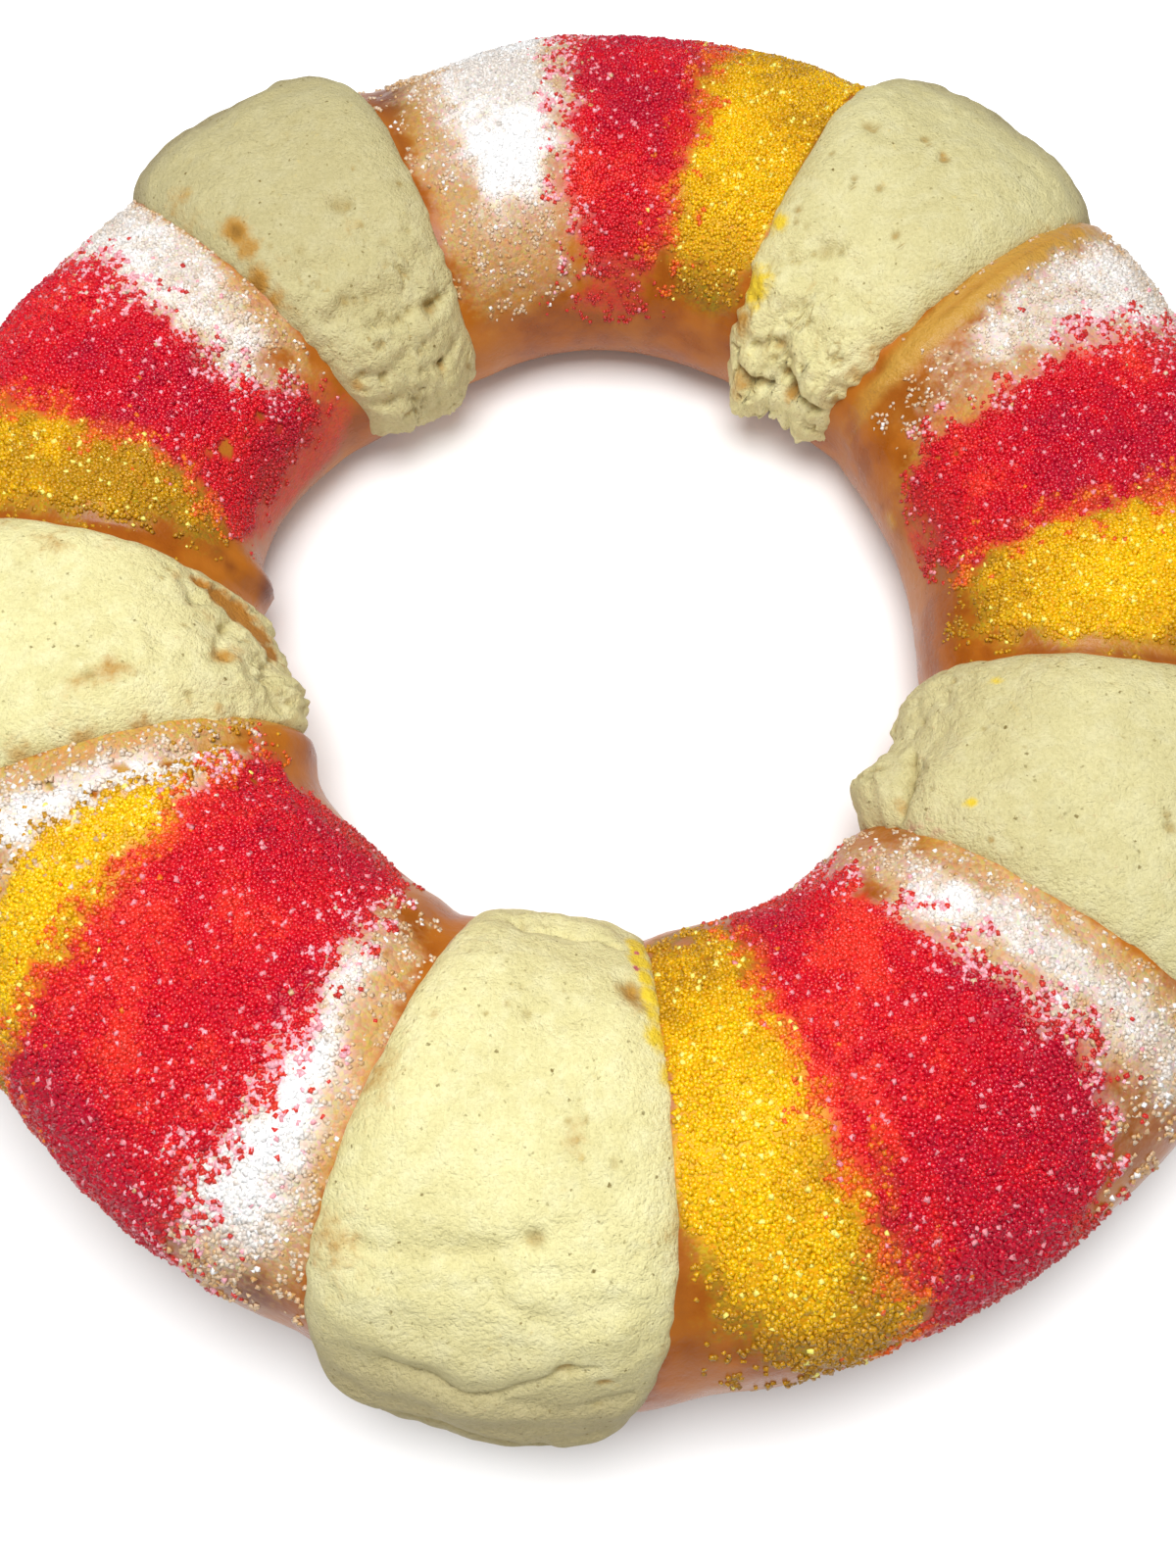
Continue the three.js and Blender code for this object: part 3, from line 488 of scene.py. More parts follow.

# Where the sugar is brighter (+) or deeper (-): around, over, radius around mm, radius over mm,
# strength. The deeper spots low on the outer side and near the hole are painted shade.
SUGAR_TONES = (
    (291.6, 110, 2.4, 9, .8), (291.8, 90, 2.0, 6, .8), (292, 76, 2.0, 5, .7),
    (295.3, 92, 2.0, 6, 1.0), (295.6, 78, 1.8, 6, 1.0), (296, 62, 2.2, 4, .7), (300, 122, 6, 5, .5),
    (303, 98, 6, 5, .35), (309.2, 68, 5, 9, -.9), (300, 42, 12, 6, -.7), (296.5, 129, 4, 4, -.5),
    (310, 92, 4, 6, -.4), (306, 128, 5, 6, .4), (222.2, 97, 5, 5, .6), (228.5, 94, 5, 5, .6),
    (226.5, 84, 5, 4, .4), (236, 96, 6, 4, .5), (230.2, 110, 6, 4, .5), (240, 70, 5, 8, .4),
    (228.8, 44, 11, 7, -.8), (235, 146, 7, 6, -.7), (226, 148, 7, 5, -.6), (232, 70, 8, 6, .3),
    (285, 92, 8, 14, .5), (286, 66, 5, 8, .3), (290.5, 58, 3.4, 7, -.7), (284, 34, 12, 6, -.9),
    (281, 122, 4, 6, -.4), (212, 80, 6, 12, .4), (218, 66, 6, 10, .2), (218, 84, 3, 6, -.6),
    (214, 104, 6, 5, .5), (167, 92, 12, 26, -.7), (165, 128, 7, 10, -.5), (166, 60, 9, 12, .3),
    (83, 36, 16, 12, -.9), (83, 84, 14, 20, -.6), (83, 118, 10, 8, .3), (68, 98, 12, 14, .2),
    (68, 44, 14, 12, -.5), (152, 92, 12, 14, -.4), (158, 118, 7, 10, .3), (148, 52, 12, 10, -.4),
    (151, 166, 12, 5, -.5), (374, 100, 12, 14, -.3), (374, 130, 10, 8, .4), (368, 150, 8, 6, .2),
    (376, 60, 12, 12, -.3), (358, 96, 10, 12, .2), (358, 130, 9, 8, -.4), (98, 84, 12, 16, -.95),
    (98, 50, 10, 12, -.3), (390, 80, 12, 30, -.9), (206, 96, 7, 20, -.4), (139, 92, 9, 26, -.8),
    (318, 110, 9, 12, -.4), (318, 60, 9, 16, -.8), (83, 60, 14, 8, -.5), (151, 120, 12, 10, -.3),
)

# Dye and melted sugar that have run out onto bare crust, and "tan" for bare golden crumb that no
# dye reached: colour, around, over, radius around mm, radius over mm, strength.
DYE_RUNS = (
    ("red", 152, 170, 16, 10, 1.1), ("red", 160, 160, 8, 8, .7), ("red", 219, 161, 6, 4, .6),
    ("red", 236, 170, 9, 3, .5), ("yellow", 284, 156, 6, 4, .6), ("red", 372, 168, 9, 3, .5),
    ("yellow", 168, 142, 7, 7, .6), ("yellow", 281.5, 62, 4, 12, .6), ("yellow", 68, 154, 8, 5, .6),
    ("white", 99, 140, 16, 14, .3), ("white", 106, 110, 4, 26, .5),
    ("tan", 203.4, 104, 3.0, 34, 1.2), ("red", 84, 164, 9, 5, .4), ("white", 315, 118, 5, 18, .4),
    ("tan", 249, 84, 2.2, 26, .6), ("tan", 247.4, 110, 2.4, 12, .6),
    ("white", 136.5, 118, 3, 20, .5), ("red", 142, 169, 11, 9, 1.3),
    ("tan", 312.6, 104, 2.6, 18, .8), ("tan", 202.6, 120, 2.6, 14, .8),
    ("tan", 383.6, 120, 4, 22, .5), ("tan", 320, 98, 2.0, 28, .6),
)

# Patches of bare bread inside the bands: around, over, radius mm, how bare.
BARE_PATCHES = (
    (285, 149, 3.0, .9), (283.5, 143, 1.8, .7), (289.5, 154, 2.4, .8), (287, 136, 1.2, .6),
    (148, 146, 1.6, .9), (147, 155, 1.8, .7), (155.5, 143, 3.0, .8), (158, 138, 1.8, .7),
    (152, 147, 1.4, .6), (158, 172, 3.0, .8), (162, 131, 1.4, .5), (372, 157, 1.6, .6),
    (371.5, 140, 1.0, .6), (380, 136, 1.5, .6), (378, 150, 1.5, .5), (381, 143, 1.3, .6),
    (218.5, 126, 1.2, .7), (220, 148, 1.6, .7), (214, 139, 2.2, .7), (224, 128, 1.0, .5),
    (236, 156, 1.6, .5), (206.4, 104, 1.3, .9), (207.6, 116, 1.6, .9), (208.3, 96, 1.0, .9),
    (205.6, 88, .9, .8), (206.8, 78, .9, .6), (209.4, 108, .9, .8), (86, 138, 1.4, .5),
    (80, 146, 1.6, .6), (84, 156, 2.0, .5), (302, 152, 1.4, .4), (294.8, 117, .9, .5),
    (355, 141, 1.6, .5), (360, 135, 1.6, .4), (70, 143, 2.0, .5), (168, 131, 2.0, .5),
)

# Lines that no sugar lies on: width mm, how bare, then the points of the path.
BARE_LINES = ((2.6, 1.0, (36.8, 15), (36.6, 60), (36.4, 100), (37, 150)),)
BARE_WIDENING = 1.3         # how much wider than high a bare patch is
BARE_RAGGEDNESS = 0.25
BARE_EDGE = (0.25, 0.7)     # how bare it is at its edge
BARELY = 0.02               # cover below which no clumps lie

# Darker, paler and torn crust: around, over, radius around mm, radius over mm, strength.
# Toasted crust: browned tips and places, and painted shade along the grooves beside the strips.
TOASTED_CRUST_AND_GROOVE_SHADE = (
    (172.2, 178, 5, 6, .95), (173.6, 168, 5, 7, .45), (206.5, 180, 6, 6, .85),
    (207.5, 170, 6, 8, .4), (108.5, 68, 6, 13, .75), (109.6, 90, 3.4, 9, .5),
    (106.8, 50, 5, 12, .6), (276.6, 62, 4.0, 16, .45), (277.6, 42, 3.4, 8, .5),
    (173.2, 100, 2.4, 24, .4), (172.0, 150, 3.0, 4, .55), (172.8, 157, 2.2, 2.6, .6),
    (310.5, 56, 4.2, 12, .45), (312.5, 34, 5, 12, .35), (284, 22, 12, 12, .35),
    (74.6, 66, 2.4, 14, .35), (22.5, 178, 1.6, 1.8, .5), (104, 160, 5, 8, .3), (16, 166, 3, 3, .4),
    (249.3, 56, 2.6, 18, .35), (106, 120, 3, 20, .2), (64, 170, 5, 9, .35), (92, 168, 14, 7, .25),
    (143, 184, 12, 7, .3), (206.3, 104, 1.2, 22, .35), (37.4, 96, .8, 34, .8),
    (348.8, 96, 1.2, 30, .5), (246, 32, 9, 10, .95), (247, 132, 4, 8, .35),
)
TORN_CRUST = (
    (35.4, 100, 2.2, 40, .95), (35.4, 62, 2.0, 14, .8), (206.8, 112, 1.6, 22, .8),
)
GOLDEN_CRUST = TORN_CRUST + (
    (107, 104, 4.0, 12, .45), (34.5, 126, 4.0, 20, .4), (30.5, 140, 6, 14, .3), (19, 176, 4, 3, .5),
    (96, 142, 10, 14, .3), (204.5, 134, 3, 10, .35), (137.4, 112, 2.6, 14, .5),
    (248.6, 108, 2.4, 12, .4), (349.6, 96, 1.6, 30, .6), (315, 150, 6, 8, .3),
    (280.5, 66, 2.4, 9, .5), (203.6, 116, 3.4, 30, 1.0), (106.5, 84, 4.4, 16, .75),
    (105.5, 118, 4.6, 20, .9), (37.4, 84, 2.0, 46, 1.0), (36.0, 130, 3.4, 18, .9),
    (64.5, 152, 3.0, 8, .4), (320, 128, 3.0, 12, .5), (98, 150, 12, 14, .45), (104, 132, 6, 22, .6),
    (82, 158, 10, 8, .3), (66, 158, 5, 8, .3), (380, 160, 14, 8, .25), (156, 172, 10, 7, .25),
    (284, 52, 3.0, 10, .3), (316, 60, 4, 14, .3), (248.8, 84, 2.4, 26, .55),
    (136.4, 124, 2.4, 16, .6), (172.4, 90, 2.0, 30, .4),
)
# Grooves and ridges: width mm, rise mm, then the points of the path.
CRUST_CREASES = (
    (.5, -1.5, (37.3, 38), (37.7, 52), (37.0, 66), (37.6, 80), (37.1, 93), (37.8, 106), (37.1, 120),
     (37.5, 134), (38.6, 150)),
    (1.4, .55, (36.2, 40), (36.5, 75), (36.1, 110), (36.9, 148)),
    (.8, -1.0, (205.0, 84), (206.3, 96), (205.6, 108), (207.1, 122), (206.5, 138), (207.6, 150)),
    (.6, -.6, (207.8, 88), (208.3, 100), (207.7, 112)),
    (.9, -.7, (349.2, 45), (349.7, 80), (349.3, 110), (349.9, 140)),
    (1.0, -.7, (173.8, 90), (173.2, 120), (173.9, 150), (174.6, 172)),
    (1.5, .4, (171.4, 96), (171.9, 126), (171.2, 150)),
    (1.2, -.5, (181.2, 165), (182.4, 180), (183.0, 196)),
    (1.2, -.5, (109.4, 62), (108.6, 90), (107.8, 120)),
    (1.4, -.5, (64.5, 160), (66, 176), (65, 192)),
    (1.6, -.5, (394.6, 160), (395.4, 176), (395, 190)),
)
RING_GRID = (720, 128)
RING_START = (0.1, 0.03)    # radii of the ring and of its roll, before it is shaped
TOP_SHARE = 270.0           # how many of the grid's degrees lie on the upper side
CRUST_SEED = 3
# Layers of fine relief, all over and where the crust is torn: height mm, size mm, seed step.
CRUST_DENTS = ((0.22, 8, 0), (0.13, 3.4, 1), (0.05, 1.5, 2))
TORN_ROUGHNESS = (0.8, 1.9, 3)


# ------------------------------------------------------------------ shape functions

def smoothstep(value, low, high):
    """0 below low, 1 above high, and smooth between."""
    share = np.clip((value - low) / (high - low), 0.0, 1.0)
    return share * share * (3.0 - 2.0 * share)


def turn(start, end):
    """Smallest turn between two angles in degrees."""
    return (end - start + 180.0) % 360.0 - 180.0


def power(value, exponent):
    """Signed power, for the rounded section."""
    return np.sign(value) * np.abs(value) ** exponent


def station_value(around, column):
    """A smooth closed curve through one measure of all stations."""
    count = len(STATIONS)
    places = np.append(STATIONS[:, 0], STATIONS[0, 0] + 360.0)
    values = STATIONS[:, column]
    angle = (around - places[0]) % 360.0 + places[0]
    left = np.clip(np.searchsorted(places, angle, side="right") - 1, 0, count - 1)

    def place(index):
        return STATIONS[index % count, 0] + 360.0 * (index // count)

    def value(index):
        return values[index % count]

    def slope(index):
        return (value(index + 1) - value(index - 1)) / (place(index + 1) - place(index - 1))

    span = place(left + 1) - place(left)
    share = (angle - place(left)) / span
    rise = value(left + 1) - value(left)
    bend = (1 - share) * (slope(left) * span - rise) + share * (rise - slope(left + 1) * span)
    return value(left) + share * rise + share * (1 - share) * bend


def nearby(place, around):
    """True where a place may have an effect."""
    return np.abs(turn(place, around)) < NEARBY


def lump_height(lumps, around, over):
    """Sum of gaussian lumps, whose spreads are in degrees."""
    height = np.zeros_like(around)
    for place, level, wide, long, rise in lumps:
        height += rise * np.exp(-(turn(place, around) / wide) ** 2
                                - (turn(level, over) / long) ** 2)
    return height


def spot(around, over, place, level, wide, long):
    """1 at a place and fading round it, with its radii in millimetres."""
    return np.exp(-(turn(place, around) * AROUND_MM / wide) ** 2
                  - (turn(level, over) * OVER_MM / long) ** 2)


def strongest(spots, around, over):
    """The strongest of some spots at each place: around, over, two radii, strength."""
    amount = np.zeros_like(around)
    for place, level, wide, long, strength in spots:
        amount = np.maximum(amount, strength * spot(around, over, place, level, wide, long))
    return amount


def path_distance(around, over, path):
    """Millimetres from a path drawn on the bread."""
    nearest = np.full(around.shape, 1e3)
    for (a0, o0), (a1, o1) in zip(path, path[1:]):
        x, y = turn(a0, around) * AROUND_MM, (over - o0) * OVER_MM
        dx, dy = (a1 - a0) * AROUND_MM, (o1 - o0) * OVER_MM
        share = np.clip((x * dx + y * dy) / (dx * dx + dy * dy), 0, 1)
        nearest = np.minimum(nearest, np.hypot(x - share * dx, y - share * dy))
    return nearest


def crease_height(creases, around, over):
    """Grooves and ridges along paths."""
    height = np.zeros_like(around)
    for width, rise, *path in creases:
        near = nearby(0.5 * (path[0][0] + path[-1][0]), around)
        distance = path_distance(around[near], over[near], path)
        height[near] += rise * np.exp(-(distance / width) ** 2)
    return height


def waves(around, over, phase):
    """Slow unevenness that closes round the ring, between -1 and 1."""
    a, b = np.radians(around), np.radians(over)
    return sum(np.sin(m * a + n * b + k * phase) for m, n, k in WAVES) / len(WAVES)


def soft_noise(points, size, seed):
    """Smooth noise between -1 and 1 whose grains are about size across."""
    side = 32
    table = np.random.default_rng(seed).uniform(-1, 1, (side, side, side))
    cell = np.floor(points / size).astype(int)
    share = points / size - cell
    share = share * share * (3 - 2 * share)
    total = np.zeros(len(points))
    for corner in range(8):
        step = np.array([(corner >> axis) & 1 for axis in range(3)])
        weight = np.prod(np.where(step == 1, share, 1 - share), axis=1)
        index = (cell + step) % side
        total += weight * table[index[:, 0], index[:, 1], index[:, 2]]
    return total


def layered_noise(points, layers, seed):
    """Sum of layers of soft noise: strength, size, seed step."""
    return sum(strength * soft_noise(points, size, seed + step) for strength, size, step in layers)


def section_point(around, over):
    """Distance from the ring's axis and height of the plain section."""
    hole, outer = station_value(around, 1), station_value(around, 2)
    half, middle = (outer - hole) / 2, (outer + hole) / 2
    angle = over % 360.0
    up = np.maximum(0.0, np.sin(np.radians(angle)))
    high = WIDEST_HEIGHT + (CREST_HEIGHT - WIDEST_HEIGHT) * up ** CREST_ROUNDNESS
    upper = middle + half * power(np.cos(np.radians(angle)), SIDE_ROUNDNESS)
    side = np.where(angle < 270, -1.0, 1.0)
    below = np.where(angle < 270, angle - 180, 360 - angle)
    foot = FOOT_SHARE * half
    bend = np.radians(90 * np.clip(below, 0, FOOT_STARTS) / FOOT_STARTS)
    reach = foot + (half - foot) * np.abs(np.cos(bend)) ** SIDE_ROUNDNESS
    low = WIDEST_HEIGHT * (1 - np.abs(np.sin(bend)) ** SIDE_ROUNDNESS)
    flat = below >= FOOT_STARTS
    reach = np.where(flat, foot * (90 - below) / (90 - FOOT_STARTS), reach)
    low = np.where(flat, 0.0, low)
    top = angle <= 180
    return np.where(top, upper, middle + side * reach), np.where(top, high, low)


def ring_point(around, over, rise):
    """A point that stands rise off the plain section, square to it."""
    step = 0.5
    reach, height = section_point(around, over)
    ahead, behind = section_point(around, over + step), section_point(around, over - step)
    dx, dy = ahead[0] - behind[0], ahead[1] - behind[1]
    length = np.hypot(dx, dy)
    distance = reach + rise * dy / length
    lifted = np.maximum(0.0, height - rise * dx / length)
    angle = np.radians(around)
    return np.stack([RING_CENTRE[0] + distance * np.cos(angle),
                     RING_CENTRE[1] + distance * np.sin(angle), lifted], axis=-1)


def neck_depth(around):
    """How far the bread is drawn in beside the strips."""
    depth = np.zeros_like(around)
    for strip in STRIPS.values():
        for edge in strip["edges"][1]:
            depth += NECK_DEPTH * np.exp(-(turn(edge, around) / NECK_SPREAD) ** 2)
    return depth


def above_foot(over):
    """1 on all that shows, fading to 0 on the flat foot."""
    angle = over % 360.0
    below = np.where(angle > 180, np.minimum(angle - 180, 360 - angle), 0)
    return 1 - smoothstep(below, 0, FOOT_STARTS * FOOT_BLEND)


def crust_relief(around, over):
    """The solid's own relief."""
    relief = (lump_height(CRUST_LUMPS, around, over)
              + WAVINESS * waves(around, over, CRUST_PHASE) - neck_depth(around))
    return above_foot(over) * relief


def plain_point(around, over):
    """A point of the plain section, for noise to be read at."""
    return ring_point(around, over, np.zeros_like(around))


def crust_rise(around, over, unevenness=1.0):
    """The crust with its fine dents and creases."""
    plain = plain_point(around, over)
    dents = layered_noise(plain, CRUST_DENTS, CRUST_SEED)
    torn = sum(strength * spot(around, over, place, level, wide, long)
               for place, level, wide, long, strength in TORN_CRUST)
    height, size, step = TORN_ROUGHNESS
    rough = height * np.clip(torn, 0, 1) * soft_noise(plain, size, CRUST_SEED + step)
    fine = unevenness * dents + rough + crease_height(CRUST_CREASES, around, over)
    return crust_relief(around, over) + above_foot(over) * fine


# ------------------------------------------------------------------ sugar cover

def band_cover(colour, rows, around, over, wander):
    """How densely one band lies at each place, from 0 to 1."""
    levels, *columns = zip(*rows)
    low, high, density = (np.interp(over, levels, column, left=0, right=0) for column in columns)
    middle, half = (low + high) / 2, (high - low) / 2
    inside = half - np.abs(turn(middle, around + BAND_RAGGEDNESS * wander))
    softness = BAND_SOFTNESS[colour]
    edge = smoothstep(inside, -softness, softness)
    share, reach = STRAYS[colour]
    stray = share * np.exp(-(np.minimum(inside, 0) / reach) ** 2)
    known = (over > levels[0]) & (over < levels[-1]) & nearby(middle, around)
    return np.where(known, density * np.maximum(edge, stray), 0.0)


def sugar_cover(around, over, clumped=1.0):
    """Cover of each colour of sugar, as a dict of arrays, thinned by the bare patches."""
    plain = plain_point(around, over)
    wander, clumps, slide = (layered_noise(plain, layers, SUGAR_SEED)
                             for layers in (BAND_WANDER, BAND_CLUMPS, BAND_SLIDE))
    cover = {colour: np.zeros_like(around) for colour in CLUMPING}
    for colour, *rows in BANDS:
        here = band_cover(colour, rows, around, over + slide, wander)
        cover[colour] = np.maximum(cover[colour], here)
    patches = [(place, level, radius * BARE_WIDENING, radius, strength)
               for place, level, radius, strength in BARE_PATCHES]
    bare = np.maximum(strongest(patches, around, over), crease_height(BARE_LINES, around, over))
    bare = smoothstep(bare + BARE_RAGGEDNESS * clumps, *BARE_EDGE)
    on_paste = paste_cover(around, over)
    total = sum(cover.values())
    for colour in cover:
        others = np.clip(total - 2 * cover[colour], 0, 1)
        thin = cover[colour] * (1 - CROWDING * others) * (1 - bare) * (1 - on_paste)
        uneven = np.clip(thin + clumped * CLUMPING[colour] * clumps * (1 - thin), 0, 1)
        cover[colour] = np.where(thin > BARELY, uneven, thin)
    return cover


def bed_rise(around, over, packed):
    """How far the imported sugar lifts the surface, in soft heaps."""
    heap = BED_LEVEL + layered_noise(plain_point(around, over), BED_HEAPS, SUGAR_SEED)
    return BED_DEPTH * packed * heap * smoothstep(over, *BED_EDGE)


def strip_edges(strip, over):
    """The two edges of a strip at a height on the bread."""
    outer, crest, hole = EDGE_LEVELS
    level = np.clip(over, outer - EDGE_BEYOND, hole + EDGE_BEYOND)
    weights = ((level - crest) * (level - hole) / ((outer - crest) * (outer - hole)),
               (level - outer) * (level - hole) / ((crest - outer) * (crest - hole)),
               (level - outer) * (level - crest) / ((hole - outer) * (hole - crest)))
    return [sum(w * edge[side] for w, edge in zip(weights, strip["edges"])) for side in (0, 1)]


def paste_cover(around, over):
    """1 where a strip of paste lies."""
    cover = np.zeros_like(around)
    for strip in STRIPS.values():
        first, last = strip["ends"]
        low, high = strip_edges(strip, over)
        inside = np.minimum(turn(low, around), turn(around, high))
        laid = (over > first) & (over < last)
        cover = np.maximum(cover, np.where(laid, smoothstep(inside, *PASTE_EDGE), 0))
    return cover


# ------------------------------------------------------------------ mesh helpers

def vertex_array(mesh):
    """A mesh's vertices as an array."""
    flat = np.empty(len(mesh.vertices) * 3)
    mesh.vertices.foreach_get("co", flat)
    return flat.reshape(-1, 3)


def inside_solid(points_mm):
    """Keeps points within the solid's own box."""
    return np.clip(points_mm, *BOX_MM)


def place_vertices(mesh, points_mm):
    """Moves a mesh's vertices to points given in millimetres."""
    mesh.vertices.foreach_set("co", (points_mm * MM).ravel())
    mesh.update()


def store_value(mesh, name, values):
    """Keeps one number a vertex, for the material."""
    mesh.attributes.new(name, "FLOAT", "POINT").data.foreach_set(
        "value", values.astype(np.float32))


def store_colour(mesh, name, colours):
    """Keeps one colour a vertex, for the material."""
    full = np.ones((len(colours), 4), np.float32)
    full[:, :3] = colours
    mesh.attributes.new(name, "FLOAT_COLOR", "POINT").data.foreach_set("color", full.ravel())


def nothing_selected():
    """Leaves object mode's selection empty, so that operators act on new pieces only."""
    if bpy.context.mode != "OBJECT":
        bpy.ops.object.mode_set(mode="OBJECT")
    bpy.ops.object.select_all(action="DESELECT")


def finish_piece(piece, slot, material, *nodes):
    """Gives a piece its body and material, and hides the solids that it stands for. Its slot is not
    used.
    """
    piece.data.materials.clear()
    piece.data.materials.append(material)
    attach(piece, "root")
    if nodes:
        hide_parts(*nodes)


# ------------------------------------------------------------------ materials

def linear(colour):
    """A screen colour 0xRRGGBB as linear light."""
    parts = [(colour >> shift & 255) / 255 for shift in (16, 8, 0)]
    return tuple(p / 12.92 if p <= 0.04045 else ((p + 0.055) / 1.055) ** 2.4 for p in parts)


class Finish:
    """A material's nodes, built one after another."""

    def __init__(self, name):
        self.material = bpy.data.materials.new(name)
        self.material.use_nodes = True
        self.tree = self.material.node_tree
        self.shader = self.tree.nodes["Principled BSDF"]
        self.place = self.add("ShaderNodeTexCoord").outputs["Object"]

    def add(self, kind, inputs=(), **settings):
        """A node whose inputs are given by name or number, as values or as sockets."""
        node = self.tree.nodes.new(kind)
        for name, value in settings.items():
            setattr(node, name, value)
        for key, value in dict(inputs).items():
            if isinstance(value, bpy.types.NodeSocket):
                self.tree.links.new(value, node.inputs[key])
            else:
                node.inputs[key].default_value = value
        return node

    def noise(self, size_mm, detail=3.0, roughness=0.55):
        """Noise whose grains are about size_mm across."""
        inputs = {"Vector": self.place, "Scale": 1.0 / (size_mm * MM), "Detail": detail,
                  "Roughness": roughness}
        return self.add("ShaderNodeTexNoise", inputs).outputs["Fac"]

    def cells(self, size_mm, place=None):
        """Cells about size_mm across."""
        inputs = {"Vector": place or self.place, "Scale": 1 / (size_mm * MM)}
        return self.add("ShaderNodeTexVoronoi", inputs).outputs

    def jittered_place(self, size_mm, reach_mm):
        """The place, pushed about so that what is drawn at it has ragged edges."""
        inputs = {"Vector": self.place, "Scale": 1 / (size_mm * MM)}
        push = self.add("ShaderNodeTexNoise", inputs).outputs["Color"]
        push = self.add("ShaderNodeVectorMath", {0: push, 1: (reach_mm * MM,) * 3},
                        operation="MULTIPLY").outputs[0]
        return self.add("ShaderNodeVectorMath", {0: self.place, 1: push},
                        operation="ADD").outputs[0]

    def value(self, name):
        """A number kept on the mesh."""
        return self.add("ShaderNodeAttribute", attribute_name=name).outputs["Fac"]

    def colour(self, name):
        """A colour kept on the mesh."""
        return self.add("ShaderNodeAttribute", attribute_name=name).outputs["Color"]

    def math(self, operation, first, second=0.0):
        """One sum."""
        return self.add("ShaderNodeMath", {0: first, 1: second}, operation=operation).outputs[0]

    def ramp(self, source, low, high, start=0.0, end=1.0):
        """Maps low..high to start..end smoothly."""
        inputs = {"Value": source, "From Min": low, "From Max": high, "To Min": start,
                  "To Max": end}
        node = self.add("ShaderNodeMapRange", inputs, interpolation_type="SMOOTHSTEP")
        return node.outputs["Result"]

    def mix(self, share, first, second, blend="MIX"):
        """Mixes two colours."""
        node = self.add("ShaderNodeMix", data_type="RGBA", blend_type=blend)
        for key, value in ((0, share), (6, first), (7, second)):
            if isinstance(value, bpy.types.NodeSocket):
                self.tree.links.new(value, node.inputs[key])
            elif key == 0:
                node.inputs[key].default_value = value
            else:
                node.inputs[key].default_value = (*value[:3], 1.0)
        return node.outputs[2]

    def bump(self, height, depth_mm, strength=1.0, under=None):
        """Adds relief to the normal."""
        inputs = {"Height": height, "Distance": depth_mm * MM, "Strength": strength}
        if under is not None:
            inputs["Normal"] = under
        return self.add("ShaderNodeBump", inputs).outputs["Normal"]

    def set(self, **values):
        """Sets or links the shader's sockets."""
        for name, value in values.items():
            socket = self.shader.inputs[name.replace("_", " ")]
            if isinstance(value, bpy.types.NodeSocket):
                self.tree.links.new(value, socket)
            else:
                socket.default_value = value


def crust_finish(choices):
    """Egg-washed crust: amber mottles, toasted and torn places, painted shade along the grooves,
    and dye under the sugar.
    """
    crust = Finish("egg_washed_crust")
    broad, middle = crust.noise(26), crust.noise(6.5, 4.0)
    fine = crust.noise(1.3, 2.0)
    amber = crust.mix(crust.ramp(middle, 0.36, 0.66), choices.dark_crust, choices.crust)
    amber = crust.mix(crust.ramp(broad, 0.4, 0.66, 0.0, 0.75), amber, choices.light_crust)
    golden = crust.ramp(crust.math("ADD", crust.value("golden"),
                                   crust.math("MULTIPLY", middle, 0.4)), 0.3, 0.95)
    amber = crust.mix(golden, amber, choices.torn_crumb)
    # Browned places, and painted shade along the grooves beside the strips.
    toasted = crust.ramp(crust.math("ADD", crust.value("toasted"),
                                    crust.math("MULTIPLY", middle, 0.3)), 0.22, 1.1)
    amber = crust.mix(toasted, amber, choices.toasted_crust_and_groove_shade)
    speckle = crust.math("ADD", crust.math("MULTIPLY", middle, 0.35),
                         crust.math("MULTIPLY", fine, 0.5))
    dyed = crust.ramp(crust.math("ADD", crust.value("dye_cover"), speckle), 0.6, 1.1)
    torn = crust.math("MULTIPLY", crust.noise(2.0, 4.0, 0.65), golden)
    grains = crust.cells(0.62)
    packed = crust.mix(0.3, crust.colour("dye"), grains["Color"], "SOFT_LIGHT")
    amber = crust.mix(dyed, amber, packed)
    heaped = crust.math("MULTIPLY", grains["Distance"], dyed)
    relief = crust.bump(heaped, -0.4, 0.4)
    relief = crust.bump(fine, 0.35, 0.35, relief)
    relief = crust.bump(middle, 0.8, 0.25, relief)
    relief = crust.bump(torn, 1.4, 0.7, relief)
    rough = crust.math("ADD", crust.ramp(middle, 0.3, 0.7, 0.25, 0.4),
                       crust.math("MULTIPLY", dyed, 0.2))
    crust.set(Base_Color=amber, Roughness=rough, Normal=relief, Coat_Weight=0.1,
              Coat_Roughness=0.12, Coat_IOR=1.4)
    crust.shader.inputs["Specular IOR Level"].default_value = 0.2
    return crust.material


